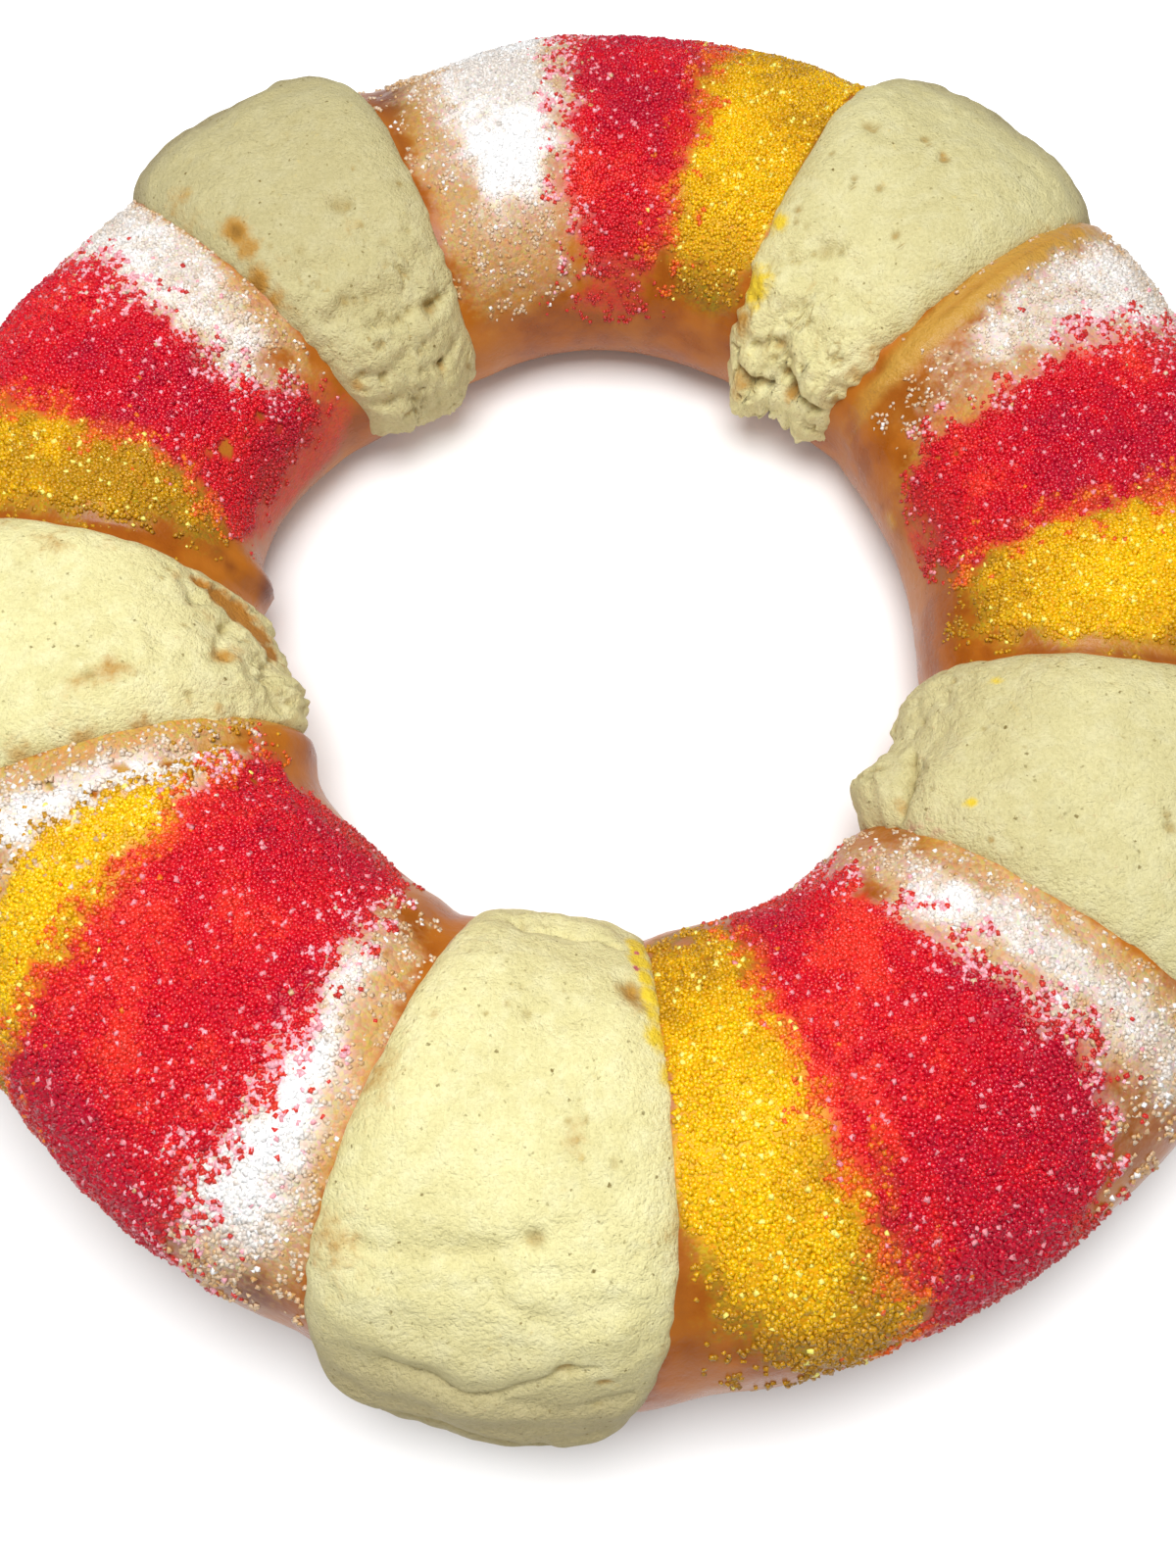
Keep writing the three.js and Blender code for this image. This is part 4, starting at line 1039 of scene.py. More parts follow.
def paste_finish(choices):
    """Baked sugar paste: cream with soft mottles, dark specks and stains, with painted shade at its
    foot and in its hollows.
    """
    paste = Finish("sugar_paste")
    broad, middle = paste.noise(16, 3.0), paste.noise(4.2, 4.0)
    fine, ragged = paste.noise(0.7, 3.0, 0.7), paste.noise(2.2, 4.0, 0.6)
    cream = paste.mix(paste.ramp(broad, 0.36, 0.66), choices.shaded_paste, choices.paste)
    cream = paste.mix(paste.ramp(middle, 0.42, 0.7, 0.0, 0.5), cream, choices.light_paste)
    # Darker strips, and painted shade at the outer foot.
    cream = paste.mix(paste.value("darkening"), cream, choices.darker_paste)
    cream = paste.mix(paste.ramp(fine, 0.34, 0.66), cream, (0.9, 0.895, 0.86), "MULTIPLY")
    ragged_place = paste.jittered_place(0.45, 0.8)
    for cell, radius, strength in SPECKS:
        spots = paste.cells(cell, ragged_place)["Distance"]
        speck = paste.ramp(spots, radius * 0.6, radius * 1.4, strength, 0.0)
        gate = paste.ramp(paste.noise(cell * 2.3, 2.0), 0.44, 0.52)
        cream = paste.mix(paste.math("MULTIPLY", speck, gate), cream, choices.speck)
    uneven = paste.math("MULTIPLY", paste.math("SUBTRACT", ragged, 0.5), 1.2)
    # Painted shade in deep creases, pores and the valleys between clods.
    cream = paste.mix(paste.ramp(paste.value("hollow_shade"), 0.05, 1.0, 0.0, 0.62), cream,
                      choices.hollow_shade_paste)
    # Toasted rims and stains, together with part of the hollows' painted shade.
    toasted = paste.ramp(paste.math("ADD", paste.value("toasted"), uneven), 0.12, 1.05)
    cream = paste.mix(toasted, cream, choices.toasted_paste)
    deep = paste.ramp(paste.value("toasted"), 0.8, 1.5, 0.0, 0.8)
    cream = paste.mix(deep, cream, choices.pit)
    stain = paste.ramp(paste.math("ADD", paste.value("stain_cover"), uneven), 0.15, 0.85)
    cream = paste.mix(stain, cream, paste.colour("stain"))
    relief = paste.bump(fine, 0.6, 1.0)
    relief = paste.bump(ragged, 1.0, 0.45, relief)
    paste.set(Base_Color=cream, Roughness=paste.ramp(middle, 0.3, 0.7, 0.62, 0.82), Normal=relief)
    paste.shader.inputs["Specular IOR Level"].default_value = 0.3
    return paste.material


def sugar_finish(name):
    """Sugar crystals, each with a tint of its own, and bright facets."""
    sugar = Finish(name)
    cloud = sugar.noise(0.5, 2.0)
    tint = sugar.mix(sugar.ramp(cloud, 0.3, 0.7, 0.0, 0.25), sugar.colour("tint"),
                     (1.0, 1.0, 1.0), "OVERLAY")
    sugar.set(Base_Color=tint, Roughness=0.28, IOR=1.5, Subsurface_Weight=0.5,
              Subsurface_Radius=(1.0, 1.0, 1.0), Subsurface_Scale=0.3 * MM)
    sugar.shader.inputs["Specular IOR Level"].default_value = 0.38
    return sugar.material


# ------------------------------------------------------------------ the bread

def crust_dye(around, over, cover, packed, choices):
    """Colour and strength of the dye under the sugar and where it has run."""
    sugars = sugar_colours(bpy.context.scene.cake_sugar)
    total = np.maximum(sum(cover.values()), TINY)
    tone = sugar_tone(around, over)
    dye = np.zeros((len(around), 3))
    for name, colours in sugars.items():
        alone = 1 - smoothstep(total - cover[name], *THIN_ALONE)
        thin = (THIN_DYE * THINNESS[name] * alone
                * smoothstep(1 - cover[name] / np.maximum(total, 1), *THIN_EDGE))[:, None]
        laid = toned(colours, tone) * (1 - thin) + np.array(colours[3]) * thin
        dye += (cover[name] / total)[:, None] * laid
    dye *= (1 - DYE_SHADE * (1 - cover["white"]))[:, None]
    for name, place, level, wide, long, strength in DYE_RUNS:
        amount = strength * spot(around, over, place, level, wide, long) * (1 - packed)
        run = choices.torn_crumb if name == "tan" else sugars[name][3]
        dye += (np.array(run) - dye) * (amount / np.maximum(amount + packed, TINY))[:, None]
        packed = packed + amount
    return dye, packed


def build_bread(choices):
    """The ring of bread: one torus whose vertices are moved to the crust."""
    nothing_selected()
    bpy.ops.mesh.primitive_torus_add(major_segments=RING_GRID[0], minor_segments=RING_GRID[1],
                                     major_radius=RING_START[0], minor_radius=RING_START[1])
    bread = bpy.context.object
    bread.name = bread.data.name = "bread"
    x, y, z = vertex_array(bread.data).T
    around = np.degrees(np.arctan2(y, x)) % 360
    section = np.degrees(np.arctan2(z, np.hypot(x, y) - RING_START[0])) % 360
    over = np.where(section <= TOP_SHARE, section * 180 / TOP_SHARE,
                    180 + (section - TOP_SHARE) * 180 / (360 - TOP_SHARE))
    cover = sugar_cover(around, over, FOG_CLUMPING)
    packed = np.clip(sum(cover.values()), 0, 1)
    rise = crust_rise(around, over, choices.unevenness) + bed_rise(around, over, packed)
    place_vertices(bread.data, inside_solid(ring_point(around, over, rise)))
    dye, dye_cover = crust_dye(around, over, cover, packed, choices)
    store_colour(bread.data, "dye", dye)
    store_value(bread.data, "dye_cover", dye_cover ** FOG_REACH)
    # Browned places, and painted shade along the grooves beside the strips.
    store_value(bread.data, "toasted", strongest(TOASTED_CRUST_AND_GROOVE_SHADE, around, over))
    store_value(bread.data, "golden", strongest(GOLDEN_CRUST, around, over))
    bpy.ops.object.shade_smooth()
    finish_piece(bread, "bread", crust_finish(choices), "bread_ring")


# ------------------------------------------------------------------ the paste

def crowded(share):
    """Steps that crowd towards both ends, so that the rims come out round."""
    return EVENLY * share + (1 - EVENLY) * (0.5 - 0.5 * np.cos(math.pi * share))


def paste_places(strip, across, along, seed):
    """Angles of places on a strip, whose inner end is torn."""
    (first, last), (torn_from, roughness) = strip["ends"], strip["crumb"]
    side = 2 * across - 1
    corner = np.abs(side) ** CORNER_SHARPNESS
    line = np.stack([across * STRIP_WIDTH, across * 0, across * 0], axis=-1)
    clods = sum(height * np.abs(soft_noise(line, size, seed + step))
                for height, size, step in END_CLODS) - END_CLOD_LEVEL
    torn = (last - CORNER_DROP * corner + roughness * clods
            + END_WANDER * np.sin(END_WAVES * across + strip["edges"][1][0]))
    start = first + CORNER_DROP * corner
    over = start + (torn - start) * along
    low, high = strip_edges(strip, over)
    waver = np.stack([over * OVER_MM, across * 0 + WAVER_ROW, across * 0], axis=-1)
    crumbly = roughness * smoothstep(over, torn_from - EDGE_TORN, torn_from)
    wander = sum((plain + more * crumbly) * soft_noise(waver, size, seed + step)
                 for plain, more, size, step in EDGE_WAVERS)
    return low + (high - low) * across + wander * np.abs(side) ** EDGE_ONLY, over


def torn_relief(points, over, crumb):
    """Clods and crumbs of the torn end, and the painted shade of what is hollow between them."""
    def noise(places, size, step):
        return soft_noise(places, size, PASTE_SEED + step)

    start, roughness = crumb
    crumbly = roughness * smoothstep(over + TORN_WANDER[0] * noise(points, *TORN_WANDER[1:]),
                                     start + TORN_EDGE[0], start + TORN_EDGE[1])
    bend, size, steps = CLOD_BEND
    bent = points + bend * np.stack([noise(points, size, step) for step in steps], axis=-1)
    clod, crumbs, grit = noise(bent, *CLODS[1:]), noise(bent, *CRUMBS[1:]), noise(points, *GRIT[1:])
    open_pore = smoothstep(noise(points, *OPEN_PORES[:2]), *OPEN_PORES[2:])
    pore, pore_shade = (np.exp(-(crumbs / width) ** 2) for width in PORE_WIDTHS)
    relief = crumbly * (CLODS[0] * np.sqrt(clod ** 2 + CLOD_ROUNDING) + CRUMBS[0] * crumbs
                        + GRIT[0] * grit + TORN_LEVEL - PORE_DEPTH * open_pore * pore)
    crack = CRACK_SHADE[0] * crumbly * np.exp(-(clod / CRACK_SHADE[1]) ** 2)
    return relief, np.maximum(crumbly * open_pore * pore_shade, crack)


def fine_pores(strip, random):
    """Pits too small to be placed one by one."""
    low, high = strip["edges"][1]
    side, end = PORE_MARGINS
    pores = []
    for _ in range(PORES_A_STRIP):
        around = low + side + (high - low - 2 * side) * random.random()
        over = end + (strip["ends"][1] - 2 * end) * random.random() ** PORE_EVENNESS
        radius = PORE_RADIUS[0] + PORE_RADIUS[1] * random.random() ** 2
        depth = FINE_PORE_DEPTH[0] + FINE_PORE_DEPTH[1] * random.random()
        pores.append((around, over, radius, depth, PORE_DARKNESS * random.random()))
    return pores


def paste_relief(strip, around, over, random):
    """Fine relief of a strip, how toasted it is, and how much painted shade its hollows get."""
    points = plain_point(around, over)
    folded = np.stack([around * AROUND_MM, over * OVER_MM * FOLD_SQUEEZE, around * 0], axis=-1)
    sag = 1 + SAG * (1 - smoothstep(over, *SAG_LEVELS))
    relief = sum((plain + more * sag) * soft_noise((points, folded)[way], size, PASTE_SEED + step)
                 for plain, more, way, size, step in PASTE_LAYERS)
    torn, hollow_shade = torn_relief(points, over, strip["crumb"])
    # Part of the hollows' painted shade is also drawn as toasted colour.
    toasted = SHADE_AS_TOASTED * hollow_shade
    relief += torn + crease_height(strip["creases"], around, over)
    shade, most, narrower = CREASE_SHADE
    deep = [(width * narrower, min(most, -shade * rise), *path)
            for width, rise, *path in strip["creases"] if rise < DEEP_CREASE]
    hollow_shade += crease_height(deep, around, over)
    for place, level, radius, depth, darkness in (*strip["pits"], *fine_pores(strip, random)):
        reach = PIT_REACH * radius
        near = ((np.abs(turn(place, around)) * AROUND_MM < reach)
                & (np.abs(turn(level, over)) * OVER_MM < reach))
        dent = spot(around[near], over[near], place, level, radius * PIT_WIDENING, radius)
        relief[near] -= depth * dent
        toasted[near] = np.maximum(toasted[near], darkness * PIT_TOASTED * dent)
        shaded = (PIT_SHADE[0] + PIT_SHADE[1] * darkness) * dent
        hollow_shade[near] = np.maximum(hollow_shade[near], shaded)
    return relief, toasted, np.clip(hollow_shade, 0, 1)


def stain_spots(strip, colour, around, over):
    """How strongly a strip is stained with one colour."""
    return strongest([(place, level, radius, radius, strength) for place, level, radius, strength
                      in strip["stains"].get(colour, ())], around, over)


def strip_stains(strip, around, over, choices):
    """How strongly a strip is stained, and with what."""
    bread = bpy.context.scene.cake_bread
    tints = {"yellow": choices.yellow_stain, "pink": choices.pink_stain,
             "bread": [(a + b) / 2 for a, b in zip(bread.torn_crumb, bread.crust)]}
    cover = np.zeros_like(around)
    stain = np.tile(linear(UNSTAINED), (len(around), 1))
    for colour, tint in tints.items():
        amount = stain_spots(strip, colour, around, over)
        stain[amount > cover] = tint
        cover = np.maximum(cover, amount)
    return cover, stain


def build_strip(name, choices, material, number):
    """One strip of sugar paste: a grid laid over the crust, and closed underneath."""
    strip = STRIPS[name]
    seed = PASTE_SEED + SEED_STEP * (number + 1)
    random = np.random.default_rng(seed)
    nothing_selected()
    bpy.ops.mesh.primitive_grid_add(x_subdivisions=PASTE_GRID[0], y_subdivisions=PASTE_GRID[1],
                                    size=1.0)
    paste = bpy.context.object
    paste.name = paste.data.name = name.replace("paste_", "sugar_paste_")
    flat = vertex_array(paste.data)
    across, along = crowded(flat[:, 0] + 0.5), crowded(flat[:, 1] + 0.5)
    around, over = paste_places(strip, across, along, seed)
    rim = np.sqrt(np.clip((1 - np.abs(2 * across - 1) ** RIM_SQUARENESS[0])
                          * (1 - np.abs(2 * along - 1) ** RIM_SQUARENESS[1]), 0, 1))
    fine, toasted, hollow_shade = paste_relief(strip, around, over, random)
    gone = smoothstep(stain_spots(strip, "bread", around, over), *BREAD_EDGE)
    fine = fine * (1 - gone) - BREAD_DEPTH * gone
    hollow_shade = hollow_shade * (1 - gone)
    broad = (lump_height(strip["lumps"], around, over)
             + PASTE_WAVINESS * waves(around, over, PASTE_PHASE))
    crust = crust_relief(around, over)
    thick = PASTE_REACH + PASTE_GAP + choices.thickness / MM + broad
    rise = crust - PASTE_REACH + rim * thick + smoothstep(rim, *RIM_SMOOTH) * fine
    top = ring_point(around, over, rise)
    under = ring_point(around, over, crust - PASTE_REACH - UNDERSIDE)
    place_vertices(paste.data, top)
    solid = paste.modifiers.new("underside", "SOLIDIFY")
    solid.thickness = UNDERSIDE * MM
    solid.offset = -1.0
    bpy.ops.object.modifier_apply(modifier=solid.name)
    place_vertices(paste.data, inside_solid(np.concatenate([top, under])))
    edge = np.minimum(np.minimum(across, 1 - across) * STRIP_WIDTH, (1 - along) * STRIP_LENGTH)
    toasted = toasted + RIM_TOASTED[0] * np.exp(-(edge / RIM_TOASTED[1]) ** 2)
    toasted = np.maximum(toasted, stain_spots(strip, "toasted", around, over))
    # How much darker the strip is drawn: more towards its inner end, and painted shade at its outer
    # foot.
    crest, inner = strip["darkening"]
    darkening = (crest + (inner - crest) * smoothstep(over, *DARKER_INSIDE)
             + FOOT_SHADE * (1 - smoothstep(over, *FOOT_SHADE_LEVELS)))
    cover, stain = strip_stains(strip, around, over, choices)
    for value, amounts in (("toasted", toasted), ("hollow_shade", hollow_shade), ("darkening", darkening),
                           ("stain_cover", cover)):
        store_value(paste.data, value, np.tile(amounts, 2))
    store_colour(paste.data, "stain", np.tile(stain, (2, 1)))
    bpy.ops.object.shade_smooth()
    finish_piece(paste, "sugar_paste", material, name)


# ------------------------------------------------------------------ the sugar

def crystal_shape():
    """One sugar crystal, modelled once: a block with one face drawn in."""
    nothing_selected()
    bpy.ops.mesh.primitive_cube_add(size=1.0)
    crystal = bpy.context.object
    bpy.ops.object.mode_set(mode="EDIT")
    bpy.ops.mesh.select_mode(type="FACE")
    bpy.ops.mesh.select_all(action="DESELECT")
    bpy.ops.object.mode_set(mode="OBJECT")
    for face in crystal.data.polygons:
        face.select = face.normal.z > 0.9
    bpy.ops.object.mode_set(mode="EDIT")
    bpy.ops.transform.resize(value=CRYSTAL_TAPER)
    bpy.ops.object.mode_set(mode="OBJECT")
    points = vertex_array(crystal.data)
    faces = np.array([tuple(face.vertices) for face in crystal.data.polygons])
    mesh = crystal.data
    bpy.data.objects.remove(crystal)
    bpy.data.meshes.remove(mesh)
    return points, faces


def random_turns(random, count):
    """Evenly spread random rotations as matrices."""
    quarter = random.normal(size=(count, 4))
    w, x, y, z = (quarter / np.linalg.norm(quarter, axis=1, keepdims=True)).T
    rows = (1 - 2 * (y * y + z * z), 2 * (x * y - z * w), 2 * (x * z + y * w),
            2 * (x * y + z * w), 1 - 2 * (x * x + z * z), 2 * (y * z - x * w),
            2 * (x * z - y * w), 2 * (y * z + x * w), 1 - 2 * (x * x + y * y))
    return np.stack(rows, axis=-1).reshape(count, 3, 3)


def grain_places(choices, random):
    """Places for grains, evenly packed over the bread's upper side."""
    spacing = choices.spacing / MM
    rows = []
    for level in np.arange(*GRAIN_LEVELS, spacing / OVER_MM * ROW_SHARE):
        distance = section_point(np.array([TYPICAL_AROUND]), np.array([level]))[0][0]
        count = int(2 * math.pi * distance / spacing)
        around = (np.arange(count) + random.random()) * 360 / count
        rows.append(np.stack([around, np.full(count, level)], axis=-1))
    around, over = np.concatenate(rows).T
    wobble = spacing * GRAIN_WOBBLE
    around = around + random.uniform(-wobble, wobble, len(around)) / AROUND_MM
    return around % 360, over + random.uniform(-wobble, wobble, len(over)) / OVER_MM


def sugar_tone(around, over):
    """How bright (up to 1) or deep in colour (down to -1) the sugar is, with painted shade towards
    the foot and the hole.
    """
    outside, inside = SHADE_TOWARDS_FOOT, SHADE_TOWARDS_HOLE
    tone = (layered_noise(plain_point(around, over), TONE_CLOUDS, SUGAR_SEED)
            - outside[0] * (1 - smoothstep(over, *outside[1:]))
            - inside[0] * smoothstep(over, *inside[1:]))
    for place, level, wide, long, strength in SUGAR_TONES:
        tone += strength * spot(around, over, place, level, wide, long)
    return np.clip(tone, -1, 1)


def toned(colours, tone):
    """A colour of sugar at its tone: an array of colours from (plain, bright, deep, thin)."""
    plain, bright, deep = (np.array(colour) for colour in colours[:3])
    up, down = (smoothstep(side, *TONE_EDGE)[:, None] for side in (tone, -tone))
    return plain + (bright - plain) * up + (deep - plain) * down


def sugar_colours(choices):
    """Each colour of sugar as it lies plain, bright, deep, and thin over the crust."""
    return {name: (getattr(choices, name), *map(linear, shades))
            for name, shades in SUGAR_SHADES.items()}


def grain_tints(colour, places, cover, choices, random):
    """A tint for each grain: its own colour, paler, deeper, or with the crust showing through."""
    around, over = places
    count = len(around)
    colours = sugar_colours(choices)[colour]
    tints = toned(colours, sugar_tone(around, over) + random.normal(0, TINT_SPREAD, count))
    thin = THINNESS[colour] * smoothstep(1 - cover[colour], *GRAIN_THIN)
    thin = (thin * (LEAST_THIN + (1 - LEAST_THIN) * random.random(count)))[:, None]
    tints = tints * (1 - thin) + np.array(colours[3]) * thin
    spread, least, most = BRIGHT_SPREAD
    bright = np.clip(random.normal(1.0, spread, count), least, most)[:, None]
    tints = tints * bright
    if colour != "white":
        orange, readily, most = ORANGE_GRAINS
        other = cover["yellow" if colour == "red" else "red"] / np.maximum(
            sum(cover.values()), TINY)
        blend = np.clip(readily * other, 0, most)[:, None]
        tints = tints * (1 - blend) + np.array(linear(orange)) * bright * blend
    # Pale grains: partly paler crystals, partly painted glints.
    pale_share, pale = PALE_AND_GLINT_GRAINS[colour]
    paler = random.random(count) < pale_share
    tints[paler] = np.array(linear(pale)) * bright[paler]
    if colour == "white":
        pink, readily, most = PINK_GRAINS
        among = random.random(count) < np.clip(readily * cover["red"], 0, most)
        tints[among] = np.array(linear(pink)) * bright[among]
    return np.clip(tints, 0.0, BRIGHTEST)


def grain_mesh(name, shape, centres, sizes, turns, tints):
    """One mesh of many crystals."""
    corners, faces = shape
    count = len(centres)
    local = corners[None] * sizes[:, None, :]
    points = np.einsum("nij,nkj->nki", turns, local) + centres[:, None, :]
    low, high = BOX_MM
    points += np.maximum(low - points.min(axis=1), 0)[:, None]
    points -= np.maximum(points.max(axis=1) - high, 0)[:, None]
    mesh = bpy.data.meshes.new(name)
    mesh.vertices.add(count * len(corners))
    mesh.vertices.foreach_set("co", (points * MM).ravel())
    index = (faces[None] + (np.arange(count) * len(corners))[:, None, None]).reshape(-1)
    mesh.loops.add(len(index))
    mesh.loops.foreach_set("vertex_index", index.astype(np.int32))
    mesh.polygons.add(count * len(faces))
    mesh.polygons.foreach_set("loop_start", np.arange(0, len(index), 4, dtype=np.int32))
    mesh.update(calc_edges=True)
    store_colour(mesh, "tint", np.repeat(tints, len(corners), axis=0))
    mesh.validate()
    return mesh


def sorted_grains(cover, random):
    """Which colour lies at each place, as its number in SUGAR_SHADES, or -1 for none."""
    total = sum(cover.values())
    keep = random.random(len(total)) < np.clip(total, 0, 1)
    pick = random.random(len(total)) * np.maximum(total, TINY)
    colour = np.full(len(total), -1)
    passed = np.zeros(len(total))
    for number, name in enumerate(SUGAR_SHADES):
        upper = passed + cover[name]
        colour[(pick >= passed) & (pick < upper) & keep] = number
        passed = upper
    return colour


def build_sugar(choices):
    """Grains of sugar: one piece for each colour between each two strips."""
    random = np.random.default_rng(SUGAR_SEED)
    shape = crystal_shape()
    around, over = grain_places(choices, random)
    cover = sugar_cover(around, over)
    limit = np.clip(sum(cover.values()), 0, 1)
    colour = sorted_grains(cover, random)
    spread, least, most = SIZE_SPREAD
    coarser, foot, above = COARSER_BELOW
    scale = ((SIZE_WHERE_THIN + (1 - SIZE_WHERE_THIN) * limit)
             * (1 + coarser * (1 - smoothstep(over, foot, above))))
    drawn = np.clip(random.normal(1.0, spread, (len(around), 3)), least, most)
    sizes = choices.grain / MM * drawn * scale[:, None]
    sunk, thin, thick = WHITE_SUNK
    lift = (bed_rise(around, over, limit) + random.uniform(*GRAIN_LIFT, len(around))
            - sunk * smoothstep(cover["white"], thin, thick))
    turns = random_turns(random, len(around))
    materials = {name: sugar_finish(name + "_sugar") for name in SUGAR_SHADES}
    for segment, start, end in SEGMENTS:
        inside = (around - start) % 360 < (end - start)
        for number, name in enumerate(SUGAR_SHADES):
            chosen = np.nonzero(inside & (colour == number))[0]
            if not len(chosen):
                continue
            place = around[chosen], over[chosen]
            centres = ring_point(*place, crust_rise(*place) + lift[chosen])
            here = {key: values[chosen] for key, values in cover.items()}
            tints = grain_tints(name, place, here, choices, random)
            piece_name = f"{name}_sugar_{segment}"
            mesh = grain_mesh(piece_name, shape, centres, sizes[chosen], turns[chosen], tints)
            grains = bpy.data.objects.new(piece_name, mesh)
            bpy.context.scene.collection.objects.link(grains)
            finish_piece(grains, "bread", materials[name])


# ------------------------------------------------------------------ the stage

CAMERA_PLACE = (-0.000314, -0.108464, 0.238924)
CAMERA_PITCH = 70.963       # degrees below the horizon
CAMERA_ROLL = -0.623
CAMERA_LENS = 27.737
LIGHT_PLACE = (-0.03, -0.02, 0.50)
LIGHT_SIZE = 0.3
FLOOR_SIZE = 6.0
FLOOR_BELOW = 0.0002        # so that the cake's foot lies clear of it
# Painted light: the floor's own glow, by distance from the middle, whitens it past the cake's
# shadow and lightens the hole: from and to, metres, and strength at each.
GLOW_AROUND = (0.143, 0.168, 0.0, 0.5)
GLOW_IN_HOLE = (0.06, 0.095, 0.24, 0.0)


def build_stage(choices):
    """Pale floor with a glow of painted light round the cake and in the hole, soft light from
    above, and the camera.
    """
    nothing_selected()
    bpy.ops.mesh.primitive_plane_add(size=FLOOR_SIZE, location=(0, 0, -FLOOR_BELOW))
    floor = bpy.context.object
    floor.name = "floor"
    paper = Finish("pale_floor")
    grain = paper.noise(40, 2.0)
    reach = paper.add("ShaderNodeVectorMath", {0: paper.place}, operation="LENGTH").outputs["Value"]
    paper.set(Base_Color=paper.mix(grain, (0.80, 0.80, 0.80), (0.82, 0.82, 0.82)), Roughness=0.7,
              Emission_Color=(1.0, 1.0, 1.0, 1.0),
              Emission_Strength=paper.math("ADD", paper.ramp(reach, *GLOW_AROUND),
                                           paper.ramp(reach, *GLOW_IN_HOLE)))
    floor.data.materials.append(paper.material)
    overhead = bpy.data.lights.new("overhead_light", "AREA")
    overhead.shape, overhead.size, overhead.energy = "SQUARE", LIGHT_SIZE, choices.overhead
    light = bpy.data.objects.new(overhead.name, overhead)
    light.location = LIGHT_PLACE
    bpy.context.scene.collection.objects.link(light)
    world = bpy.data.worlds.new("studio")
    world.use_nodes = True
    sky = world.node_tree.nodes["Background"]
    sky.inputs["Color"].default_value = (1.0, 1.0, 1.0, 1.0)
    sky.inputs["Strength"].default_value = choices.sky
    bpy.context.scene.world = world
    bpy.context.scene.view_settings.view_transform = "Standard"
    bpy.context.scene.view_settings.look = "None"
    data = bpy.data.cameras.new("camera")
    data.sensor_width = 36.0
    data.lens = CAMERA_LENS
    camera = bpy.data.objects.new("camera", data)
    pitch, roll = math.radians(CAMERA_PITCH), math.radians(CAMERA_ROLL)
    upright = Euler((math.pi / 2 - pitch, 0, 0)).to_matrix()
    camera.rotation_euler = (upright @ Matrix.Rotation(roll, 3, "Z")).to_euler()
    camera.location = CAMERA_PLACE
    bpy.context.scene.collection.objects.link(camera)
    bpy.context.scene.camera = camera


# ------------------------------------------------------------------ choices for the user

def colour_choice(name, colour, description):
    """A colour that the user may change."""
    return bpy.props.FloatVectorProperty(name=name, description=description, subtype="COLOR",
                                         size=3, min=0.0, max=1.0, default=linear(colour))


class CakeBread(bpy.types.PropertyGroup):
    """Choices for the bread."""

    unevenness: bpy.props.FloatProperty(
        name="Unevenness", description="How strong the small dents of the crust are",
        default=1.0, min=0.0, max=2.0, subtype="FACTOR")
    crust: colour_choice("Crust", 0xA85C0C, "Egg-washed crust")
    dark_crust: colour_choice("Dark crust", 0x964E0C, "Darker mottles of the crust")
    light_crust: colour_choice("Light crust", 0xB87022, "Lighter mottles of the crust")
    # Browned tips, and the painted shade along the grooves beside the strips.
    toasted_crust_and_groove_shade: colour_choice("Toasted crust", 0x6E3313, "Browned tips, and painted shade in the grooves")
    torn_crumb: colour_choice("Torn crumb", 0xC4943F, "Pale bread where the crust is torn")


class CakePaste(bpy.types.PropertyGroup):
    """Choices for the strips of sugar paste."""

    thickness: bpy.props.FloatProperty(
        name="Thickness", description="How thick the paste lies on the bread",
        default=3.4 * MM, min=0.002, max=0.004, unit="LENGTH")
    paste: colour_choice("Paste", 0xF1E9AE, "Baked sugar paste")
    light_paste: colour_choice("Light paste", 0xF8F3C4, "Paler mottles")
    shaded_paste: colour_choice("Shaded paste", 0xE7DEA2, "Deeper mottles")
    # Darker paste: for the darker strips, and for the painted shade at the outer foot.
    darker_paste: colour_choice("Darker paste", 0xAEA076, "Darker strips, and painted shade at the foot")
    # Painted shade for deep creases, pores and the valleys between clods.
    hollow_shade_paste: colour_choice("Hollows", 0x9E8544, "Painted shade in creases and pores")
    # Toasted paste also carries part of the painted shade in the hollows.
    toasted_paste: colour_choice("Toasted paste", 0xBC8A3A, "Browned rims and thin places")
    pit: colour_choice("Pits", 0x80581A, "Brown pits")
    speck: colour_choice("Specks", 0x776428, "Fine dark specks")
    yellow_stain: colour_choice("Yellow stain", 0xEECF36, "Where yellow sugar has run")
    pink_stain: colour_choice("Pink stain", 0xC8626C, "Where red sugar has run")


class CakeSugar(bpy.types.PropertyGroup):
    """Choices for the sugar."""

    grain: bpy.props.FloatProperty(
        name="Grain", description="Edge length of a sugar crystal",
        default=0.82 * MM, min=0.0004, max=0.002, unit="LENGTH")
    spacing: bpy.props.FloatProperty(
        name="Spacing", description="Distance between grains where they lie densest",
        default=0.67 * MM, min=0.0004, max=0.002, unit="LENGTH")
    white: colour_choice("White", 0xF8F7F6, "Plain sugar")
    yellow: colour_choice("Yellow", 0xDFA604, "Yellow sugar")
    red: colour_choice("Red", 0xCC0A20, "Red sugar")


class CakeStage(bpy.types.PropertyGroup):
    """Choices for the stage."""

    overhead: bpy.props.FloatProperty(name="Overhead light", description="Light from above",
                                      default=2.75, min=0.0, unit="POWER")
    sky: bpy.props.FloatProperty(name="Surroundings", description="Light from all round",
                                 default=0.28, min=0.0)


# ------------------------------------------------------------------ operators and panel

class CAKE_OT_stage(bpy.types.Operator):
    """Adds the floor, the lights and the camera."""

    bl_idname = "cake.stage"
    bl_label = "Add stage"

    def execute(self, context):
        build_stage(context.scene.cake_stage)
        return {"FINISHED"}


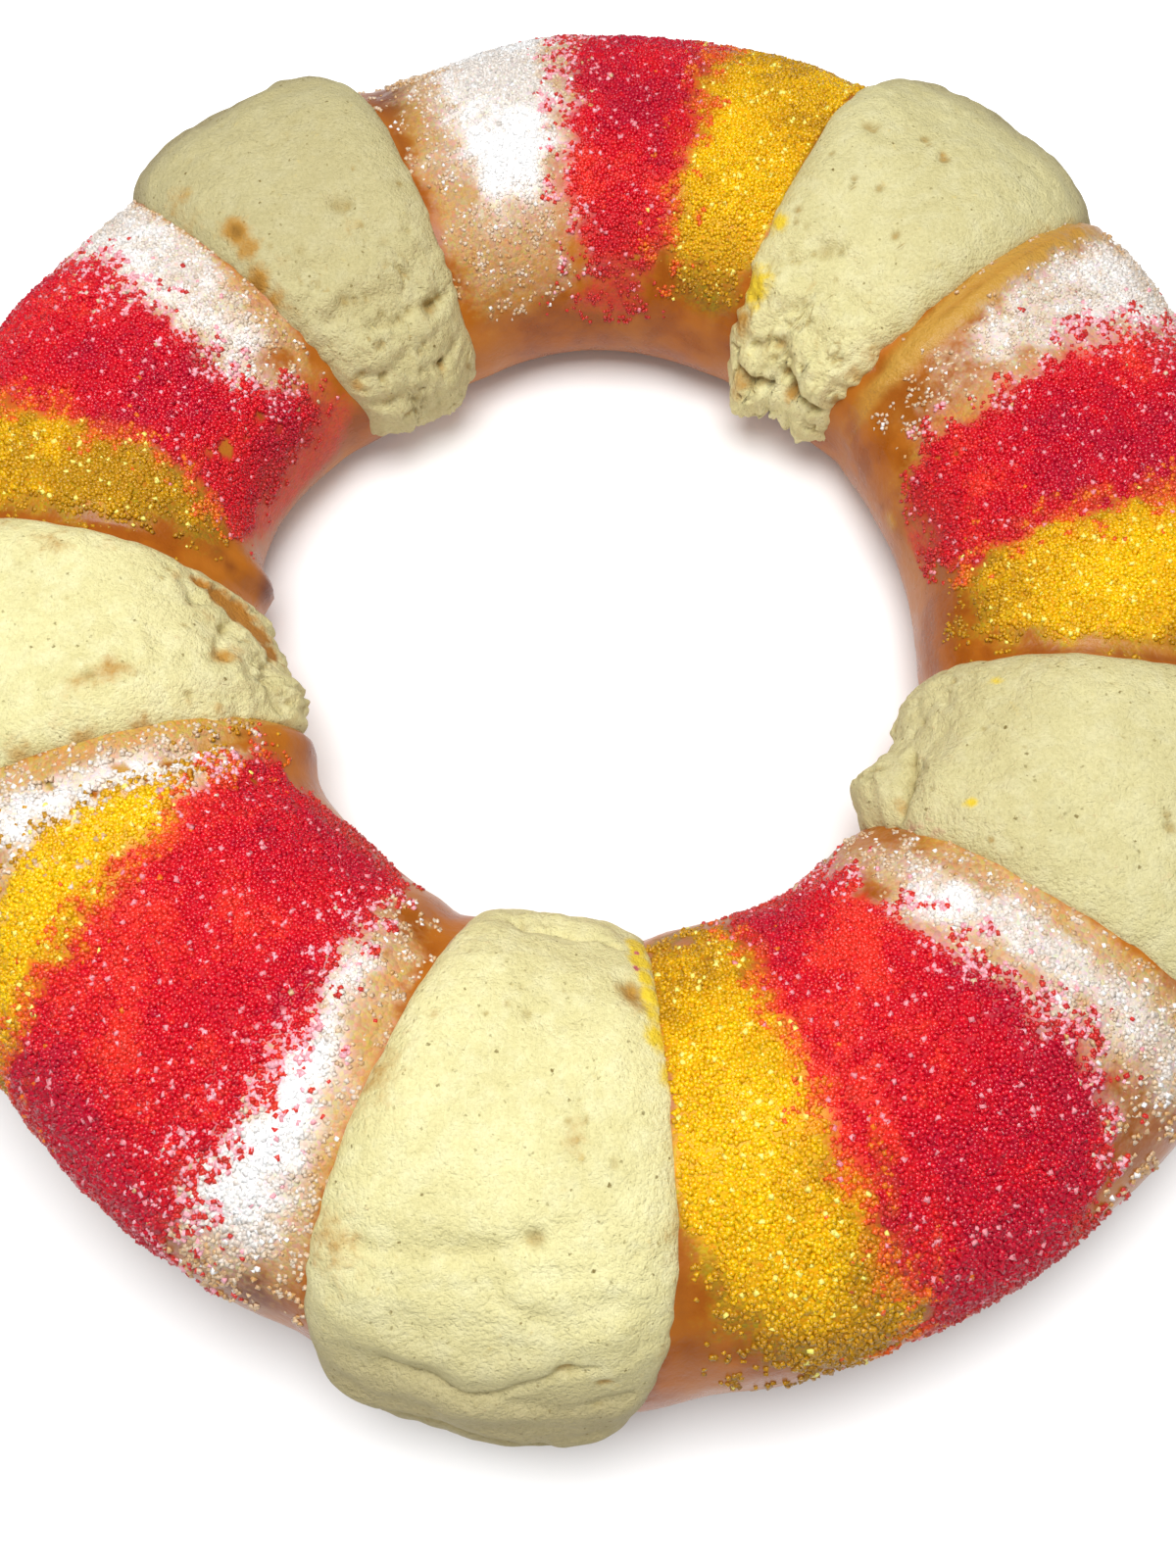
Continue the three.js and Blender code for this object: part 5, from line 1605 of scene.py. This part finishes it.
class CAKE_OT_bread(bpy.types.Operator):
    """Adds the ring of egg-washed bread."""

    bl_idname = "cake.bread"
    bl_label = "Add bread"

    def execute(self, context):
        build_bread(context.scene.cake_bread)
        return {"FINISHED"}


class CAKE_OT_paste(bpy.types.Operator):
    """Adds the five strips of sugar paste."""

    bl_idname = "cake.paste"
    bl_label = "Add sugar paste"

    def execute(self, context):
        choices = context.scene.cake_paste
        material = paste_finish(choices)
        for number, name in enumerate(STRIPS):
            build_strip(name, choices, material, number)
        return {"FINISHED"}


class CAKE_OT_sugar(bpy.types.Operator):
    """Adds the bands of coloured sugar."""

    bl_idname = "cake.sugar"
    bl_label = "Add sugar"

    def execute(self, context):
        build_sugar(context.scene.cake_sugar)
        return {"FINISHED"}


class CAKE_PT_panel(bpy.types.Panel):
    """Lists the cake's pieces and their choices."""

    bl_label = "King cake"
    bl_space_type = "VIEW_3D"
    bl_region_type = "UI"
    bl_category = "King cake"

    def draw(self, context):
        scene = context.scene
        for choices, operator in ((scene.cake_stage, "cake.stage"),
                                  (scene.cake_bread, "cake.bread"),
                                  (scene.cake_paste, "cake.paste"),
                                  (scene.cake_sugar, "cake.sugar")):
            box = self.layout.box()
            for name in choices.__annotations__:
                box.prop(choices, name)
            box.operator(operator)


CLASSES = (CakeBread, CakePaste, CakeSugar, CakeStage, CAKE_OT_stage, CAKE_OT_bread,
           CAKE_OT_paste, CAKE_OT_sugar, CAKE_PT_panel)


def register():
    """Makes the choices, operators and panel known to Blender."""
    for cls in CLASSES:
        bpy.utils.register_class(cls)
    bpy.types.Scene.cake_bread = bpy.props.PointerProperty(type=CakeBread)
    bpy.types.Scene.cake_paste = bpy.props.PointerProperty(type=CakePaste)
    bpy.types.Scene.cake_sugar = bpy.props.PointerProperty(type=CakeSugar)
    bpy.types.Scene.cake_stage = bpy.props.PointerProperty(type=CakeStage)


def unregister():
    """Takes them away again."""
    for name in ("cake_bread", "cake_paste", "cake_sugar", "cake_stage"):
        delattr(bpy.types.Scene, name)
    for cls in reversed(CLASSES):
        bpy.utils.unregister_class(cls)


def main():
    """Builds the stage and the cake."""
    register()
    bpy.ops.cake.stage()
    bpy.ops.cake.bread()
    bpy.ops.cake.paste()
    bpy.ops.cake.sugar()


if __name__ == "__main__":
    main()
